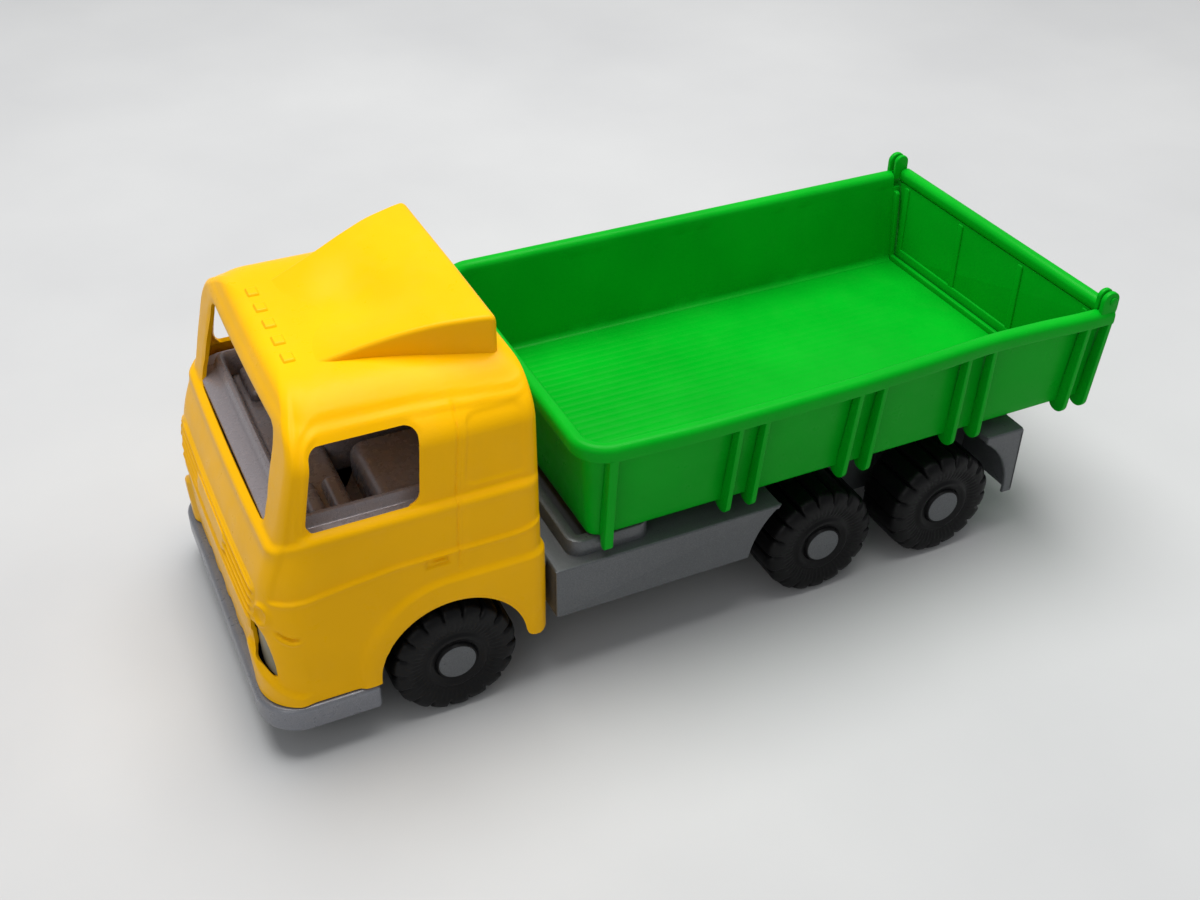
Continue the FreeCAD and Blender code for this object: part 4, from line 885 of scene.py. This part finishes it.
def make_bed():
    points, faces = joined([bed_walls(), bed_floor()] + bed_fittings())
    points[:, 0] += wall_bow(points[:, 0], points[:, 1], points[:, 2])
    bed = make_object("bed_moulding", points, faces, "bed", "green_plastic", closed=True)
    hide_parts("bed_body")


def make_tailgate():
    """The framed rear flap: its inner face has three sunk panels, and a round rail runs along its top."""
    low_x, high_x = 95.0, 101.0
    front, back, floor = 256.5, 260.0, FLOOR_Z + 0.8
    plate = [(-low_x, floor, 1), (low_x, floor, 1), (high_x, 150, 0), (-high_x, 150, 0)]
    blocks = [prism(plate, along_y, front + 1.4, back, 0.5)]
    blocks.append(prism(block((-91, 91), (floor + 0.1, floor + 9), 1.5), along_y, front, front + 2, 0.9))
    for x in (-92.0, -31.0, 31.0, 92.0):
        bar = block((x - 2.6, x + 2.6), (floor + 0.3, 148.8), 1.5)
        blocks.append(prism(bar, along_y, front + 0.25, front + 1.9, 0.7))
    for x in (-60, -20, 20, 60):
        rib = block((x - 1.5, x + 1.5), (floor + 2, 149), 0.6)
        blocks.append(prism(rib, along_y, back - 0.5, back + 4.5, 0.6))
    foot = block((2 - low_x, low_x - 2), (floor + 1, floor + 4), 0.8)
    blocks.append(prism(foot, along_y, back - 0.5, 267.5, 0.8))
    rail = block((front + 0.4, back + 6), (149.4, 159.4), 4.2)
    blocks.append(prism(rail, along_x, -102.8, 102.8, 1.6, 4))
    arm = [(253, 152, 0), (263, 152, 0), (263.0, PEG_Z + 5.6, 4.9), (252.6, PEG_Z + 5.6, 4.9)]
    arms = [prism(arm, along_x, 102.4, 105.6, 0.9)]
    peg = block((PEG_Y - 2.5, PEG_Y + 2.5), (PEG_Z - 2.5, PEG_Z + 2.5), 2.49)
    arms.append(prism(peg, along_x, 104, 111.9, 0.5))
    gate = make_moulding("tailgate_moulding", blocks + both_sides(arms), "tailgate", "green_plastic")
    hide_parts("tailgate")


# -------- chassis

MIDDLE_HUB, REAR_HUB = cad_middle("middle_axle"), cad_middle("rear_axle")
MIDDLE_ARCH, REAR_ARCH = 53.0, 47.5
DECK_TOP, DECK_UNDER, DECK_REAR = 78.4, 75.4, 40.3
SKIRT_X, SKIRT_FRONT, SKIRT_BOTTOM = 106.0, -102.6, 44.8
PANEL_TOP, PANEL_BOTTOM = 80.5, 32.2
WEB_X = 58


def arc_points(middle, radius, start, end, count=14):
    """Points of an arc in the (y, z) plane, angles in degrees from +Y towards +Z."""
    angles = np.radians(np.linspace(start, end, count))
    return [(middle[1] + radius * math.cos(angle), middle[2] + radius * math.sin(angle), 0)
            for angle in angles]


def arch_angle(middle, radius, z):
    """Angle at which an arch reaches height z, on its rear side."""
    return math.degrees(math.asin((z - middle[2]) / radius))


def chassis_sides():
    """Side skirt ahead of the middle wheel, and the fender end behind the rear wheel."""
    low = arch_angle(MIDDLE_HUB, MIDDLE_ARCH, SKIRT_BOTTOM)
    high = arch_angle(MIDDLE_HUB, MIDDLE_ARCH, DECK_TOP)
    skirt = [(SKIRT_FRONT, DECK_TOP, 0), (SKIRT_FRONT, SKIRT_BOTTOM, 2)]
    skirt += arc_points(MIDDLE_HUB, MIDDLE_ARCH, 180 - low, 180 - high)
    skirt = [(y, min(z, DECK_TOP - 0.15), radius) for y, z, radius in skirt]
    blocks = [prism(skirt, along_x, SKIRT_X - 3, SKIRT_X, 1.1)]
    fender = [(188.2, 80.6, 0)] + arc_points(REAR_HUB, REAR_ARCH, 56.1, arch_angle(REAR_HUB, REAR_ARCH, 32.0))
    fender += [(215.8, 32.0, 1), (215.8, 80.6, 2)]
    blocks.append(prism(fender, along_x, SKIRT_X - 3, SKIRT_X, 1.1))
    web = block((-251.8, 214.6), (27, DECK_TOP - 1), 2)
    blocks.append(prism(web, along_x, WEB_X - 3, WEB_X, 0.6))
    for node in ("front_axle", "middle_axle", "rear_axle"):
        hub = cad_middle(node)
        ring = block((hub[1] - 6.5, hub[1] + 6.5), (hub[2] - 6.5, hub[2] + 6.5), 6.45)
        blocks.append(prism(ring, along_x, 50.2, 62, 0.5))
    return both_sides(blocks)


def rear_panel():
    """The panel behind the rear wheels, with two slots that the tipping lugs swing through."""
    low_x, high_x, floor, top = TIP_LUG[0] - 2, TIP_LUG[1] + 2, 63.5, PANEL_TOP
    right = [(SKIRT_X, PANEL_BOTTOM, 2.2), (SKIRT_X, top, 2.2), (high_x, top, 0), (high_x, floor, 1.5),
             (low_x, floor, 1.5), (low_x, top, 0)]
    left = [(-x, z, radius) for x, z, radius in reversed(right)]
    return prism(right + left, along_y, 213, 216, 1.1)


def chassis_decks():
    """The cab's floor, the wide deck, the narrow deck behind it, the cross walls and the bed's rest.

    Plates that meet are 0.1 to 0.3 mm apart in height, so no two faces lie in one plane.
    """
    wide_x = SKIRT_X - 0.1
    cab_floor = block((-97, 97), (-252, SKIRT_FRONT + 1), 8)
    deck = block((-wide_x, wide_x), (SKIRT_FRONT + 0.1, DECK_REAR), 2.2)
    skirt_end = block((0.2 - SKIRT_X, SKIRT_X - 0.2), (45.0, DECK_TOP - 0.3), 1.5)
    spine = block((-39, 39), (DECK_REAR - 2, 214.8), 1)
    blocks = [
        prism(cab_floor, along_z, DECK_UNDER, DECK_TOP - 0.2, 0.6),
        prism(deck, along_z, DECK_UNDER, DECK_TOP, 1.1),
        prism(skirt_end, along_y, SKIRT_FRONT, SKIRT_FRONT + 3, 1.1),
        prism(spine, along_z, DECK_UNDER + 0.1, DECK_TOP - 0.1, 0.6),
        rear_panel(),
        prism(block((-WEB_X, WEB_X), (27, DECK_TOP - 1), 2), along_y, -252, -249, 0.6),
        prism(block((-WEB_X, WEB_X), (60, DECK_TOP - 1), 0), along_y, 180, 183, 0.4)]
    for sign in (1, -1):
        for low, high, rear, drop in ((47, WEB_X, 214.7, 0.1), (38, 48, 194, 0.25)):
            strip = block(sorted((sign * low, sign * high)), (DECK_REAR - 2, rear), 0.6)
            blocks.append(prism(strip, along_z, DECK_UNDER + drop, DECK_TOP - drop, 0.4))
    edge = SKIRT_X - 0.15
    for low, high in ((48, edge), (-edge, -48), (-37, 37)):
        blocks.append(prism(block((low, high), (188, 215.85), 2), along_z, DECK_UNDER + 0.4, 80.8, 1.1))
    rest = [(0, DECK_TOP - 1), (0, 87.2), (0.4, 88.1), (1.4, 88.6), (5.6, 88.6), (6.6, 88.2), (7, 87.2),
            (7.2, 80.8), (8, 79.9)]
    blocks.append(stacked(rounded_outline(block((-99, 99), (-91, -41), 8.5)), rest, along_z))
    return blocks


def make_bumper():
    """The bar round the nose and the floor across it."""
    side, front, back = 107.5, -268.0, -205.7
    ring = [(-side, back, 2.5), (-side, front, 24), (side, front, 24), (side, back, 2.5),
            (side - 11, back, 1), (side - 11, front + 11, 13), (11 - side, front + 11, 13),
            (11 - side, back, 1)]
    floor = [(2 - side, back - 1, 1), (2 - side, front + 2, 22), (side - 2, front + 2, 22),
             (side - 2, back - 1, 1)]
    blocks = [prism(ring, along_z, 21.5, 37.5, 2.8, 5), prism(floor, along_z, 28, 31, 0.5)]
    # the bumper wears the lighter copy of the silver plastic, as painted light
    make_moulding("bumper_moulding", blocks, "chassis", "silver_plastic", LIT_BUMPER_FINISH)


def make_chassis():
    blocks = chassis_sides() + chassis_decks()
    chassis = make_moulding("chassis_moulding", blocks, "chassis", "silver_plastic")
    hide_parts("chassis_frame")


# -------- cab interior

def make_interior():
    """The grey tub in the cab: ledge, rolled border, dashboard, seats and console."""
    # (inset, height) of the tub's outline from the floor up, over the border and down into the well
    levels = [(3, 79), (2, 80), (2, 130), (0, 136.5), (0.3, 137.8), (2, 138.8), (8.5, 139.4), (9.6, 140.4),
              (10.4, 143), (11.8, 144.8), (13.4, 145.2), (14.8, 144.4), (15.8, 142), (16.6, 137), (17.5, 118),
              (20, 114.5), (24, 113.5)]
    tub = [(-97, -246.2, 18), (97, -246.2, 18), (97, -125, 6), (-97, -125, 6)]
    blocks = [stacked(rounded_outline(tub), levels, along_z)]
    low, high, lean = 20.0, 76.0, 10.0 / 64.0
    cushion = [(-188, 112, 0), (-146, 112, 0), (-146, 136, 3), (-188, 136, 8)]
    back = [(-152, 125, 2), (-138, 125, 2), (-131, 189, 5), (-142, 189, 5)]
    parts = [prism(cushion, along_x, low, high, 4.0, 5), prism(back, along_x, low, high, 4.0, 5)]
    for roll in range(4):
        z = 144.5 + roll * 11.5
        y = -152 + lean * (z - 125)
        bolster = [(y - 3, z - 4.8, 2.8), (y + 4, z - 4.8, 0), (y + 4, z + 4.8, 0), (y - 2, z + 4.8, 2.8)]
        parts.append(prism(bolster, along_x, low + 3, high - 3, 2.2, 4))
    for middle in (-219.0, -205.5):
        pad = [(middle - 5, 129, 0), (middle + 5, 129, 0), (middle + 5, 137, 3.9), (middle - 5, 137, 3.9)]
        parts.append(prism(pad, along_x, 46, 78, 3.0, 4))
    blocks += both_sides(parts)
    blocks.append(prism(block((-14, 14), (-199, -134), 7), along_z, 112, 150, 4.0, 5))
    shelf = [(-228, 112, 0), (-198, 112, 0), (-198, 131, 5), (-228, 131, 2)]
    blocks.append(prism(shelf, along_x, -80, 80, 1.0, 3))
    tray = make_moulding("cab_tub", blocks, "chassis", "grey_plastic")
    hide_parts("cab_interior")


# -------- wheels

LUGS = 18
STEPS_PER_LUG = 14
TYRE_RADIUS, TYRE_WIDTH = 36.5, 38.0


def wheel_profile(cap_depth):
    """(depth behind the outer face, radius) from the lip round the hub cap, over the tread, to the inside."""
    return [(cap_depth + 2.0, 9.5), (cap_depth - 0.2, 9.5), (cap_depth - 0.6, 10.0), (cap_depth - 0.7, 11.4),
            (1.6, 12.4), (0.9, 13.4), (0.8, 14.8), (0.2, 15.6), (0.0, 16.6), (0.3, 17.6), (1.3, 18.6),
            (1.5, 20.2), (1.0, 22.0), (0.4, 24.5), (0.1, 27.0), (0.0, 29.0), (0.2, 30.8), (0.7, 32.4),
            (1.5, 33.9), (2.7, 35.2), (4.4, 36.1), (6.6, 36.45), (12.0, 36.5), (19.0, 36.5),
            (26.0, 36.5), (31.4, 36.45), (33.6, 36.1), (35.3, 35.2), (36.6, 33.6), (37.5, 31.6),
            (38.0, 29.4), (37.4, 28.6), (30.0, 28.2),
            (14.0, 27.5), (11.5, 25.0), (11.0, 18.0), (11.0, 8.5), (30.0, 8.0), (34.0, 8.0), (34.0, 3.0)]


def make_wheel(axle, side):
    """A moulded wheel with a ringed sidewall and saw-toothed lugs parted by narrow grooves."""
    low, high = cad_box(axle + "_wheel_" + side)
    cap = cad_box(axle + "_hub_cap_" + side)
    sign = 1.0 if side == "left" else -1.0
    outer_x = high[0] if side == "left" else low[0]
    cap_x = cap[1][0] if side == "left" else cap[0][0]
    middle_y, middle_z = (low[1] + high[1]) / 2, (low[2] + high[2]) / 2
    profile = np.array(wheel_profile(abs(outer_x - cap_x)))
    steps = LUGS * STEPS_PER_LUG
    turn = np.arange(steps) / steps * 2 * math.pi
    phase = (turn / (2 * math.pi) * LUGS) % 1.0
    arc = np.minimum(phase, 1 - phase) * (2 * math.pi * TYRE_RADIUS / LUGS)
    groove = 1 - ease((arc - 0.5) / 0.8)
    tooth = ease(phase * 1.6)
    depth, radius = profile[:, :1], profile[:, 1:]
    on_tread = (depth < TYRE_WIDTH + 0.1) & (radius > 28.5)
    shoulder = ease((radius - 27.5) / 6.0) * on_tread
    sunk = shoulder * (1.9 * groove + 0.8 * (1 - tooth))
    inward = ease((radius - 31.0) / 5.0)
    r = radius - sunk * (0.35 + 0.65 * inward)
    w = depth + np.where(depth < TYRE_WIDTH / 2, 1, -1) * sunk * (1 - inward) * 0.9
    dashes = ((phase * 3) % 1.0 > 0.62) & (radius > 21.5) & (radius < 25.5) & (depth < 5)
    w = w - 0.45 * dashes
    x = outer_x - sign * w
    y = middle_y + r * np.cos(turn)[None, :]
    z = middle_z + r * np.sin(turn)[None, :]
    points = np.stack([x, y, z], axis=-1)
    faces = grid_faces(len(profile), len(turn), wrap=True)
    name = axle + "_tyre_" + side
    wheel = make_object(name, points.reshape(-1, 3), faces, axle + "_wheelset", "black_plastic", 42.0)
    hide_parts(axle + "_wheel_" + side)


# -------- camera, floor and light

CAMERA_PLACE = (0.630, -0.328, 0.577)
YAW, PITCH, ROLL = -64.4, -36.1, 0.5
SENSOR_WIDTH, LENS = 36.0, 41.7
FLOOR_REACH = 6.0
WORLD_TINT, WORLD_STRENGTH = (0.93, 0.96, 1.0, 1), 0.36


def make_camera():
    yaw, pitch, roll = math.radians(YAW), math.radians(PITCH), math.radians(ROLL)
    ahead = Vector((math.sin(yaw) * math.cos(pitch), math.cos(yaw) * math.cos(pitch), math.sin(pitch)))
    right = Vector((math.cos(yaw), -math.sin(yaw), 0))
    up = right.cross(ahead)
    rolled_right = right * math.cos(roll) + up * math.sin(roll)
    rolled_up = up * math.cos(roll) - right * math.sin(roll)
    turn = Matrix((rolled_right, rolled_up, -ahead)).transposed()
    data = bpy.data.cameras.new("camera")
    data.sensor_width = SENSOR_WIDTH
    data.lens = LENS
    camera = add_object("camera", data)
    camera.matrix_world = Matrix.Translation(CAMERA_PLACE) @ turn.to_4x4()
    bpy.context.scene.camera = camera


def make_floor():
    mesh = bpy.data.meshes.new("floor")
    corners = [(x, y, 0) for x, y, _ in block((-FLOOR_REACH, FLOOR_REACH), (-FLOOR_REACH, FLOOR_REACH), 0)]
    mesh.from_pydata(corners, [], [(0, 1, 2, 3)])
    material, tree, shader = new_material("floor_finish")
    tint = ramp(tree, noise(tree, 3.0, 6.0), 0.3, 0.7, (0.50, 0.50, 0.50, 1), (0.56, 0.56, 0.555, 1))
    tree.links.new(tint, shader.inputs["Base Color"])
    socket(shader, "Roughness", 0.85)
    mesh.materials.append(material)
    floor = add_object("floor", mesh)


def area_light(name, place, size, watts):
    """A round soft light, aimed at the middle of the toy."""
    data = bpy.data.lights.new(name, "AREA")
    data.shape = "DISK"
    data.size = size
    data.energy = watts
    light = add_object(name, data)
    light.location = place
    light.rotation_euler = (Vector((0, 0, 0.1)) - Vector(place)).to_track_quat("-Z", "Y").to_euler()


def make_light():
    world = bpy.data.worlds.new("studio")
    world.use_nodes = True
    background = world.node_tree.nodes["Background"]
    socket(background, "Color", WORLD_TINT)
    socket(background, "Strength", WORLD_STRENGTH)
    bpy.context.scene.world = world
    area_light("overhead", (-0.35, 0.05, 2.2), 2.0, 64)
    area_light("front_left", (1.5, -1.9, 1.5), 1.4, 6)
    bpy.context.scene.view_settings.view_transform = "Standard"


finish_cad_nodes()
make_cab()
make_deflector()
make_roof_markers()
make_bed()
make_tailgate()
make_chassis()
make_bumper()
make_interior()
for axle in ("front", "middle", "rear"):
    for side in ("left", "right"):
        make_wheel(axle, side)
make_camera()
make_floor()
make_light()
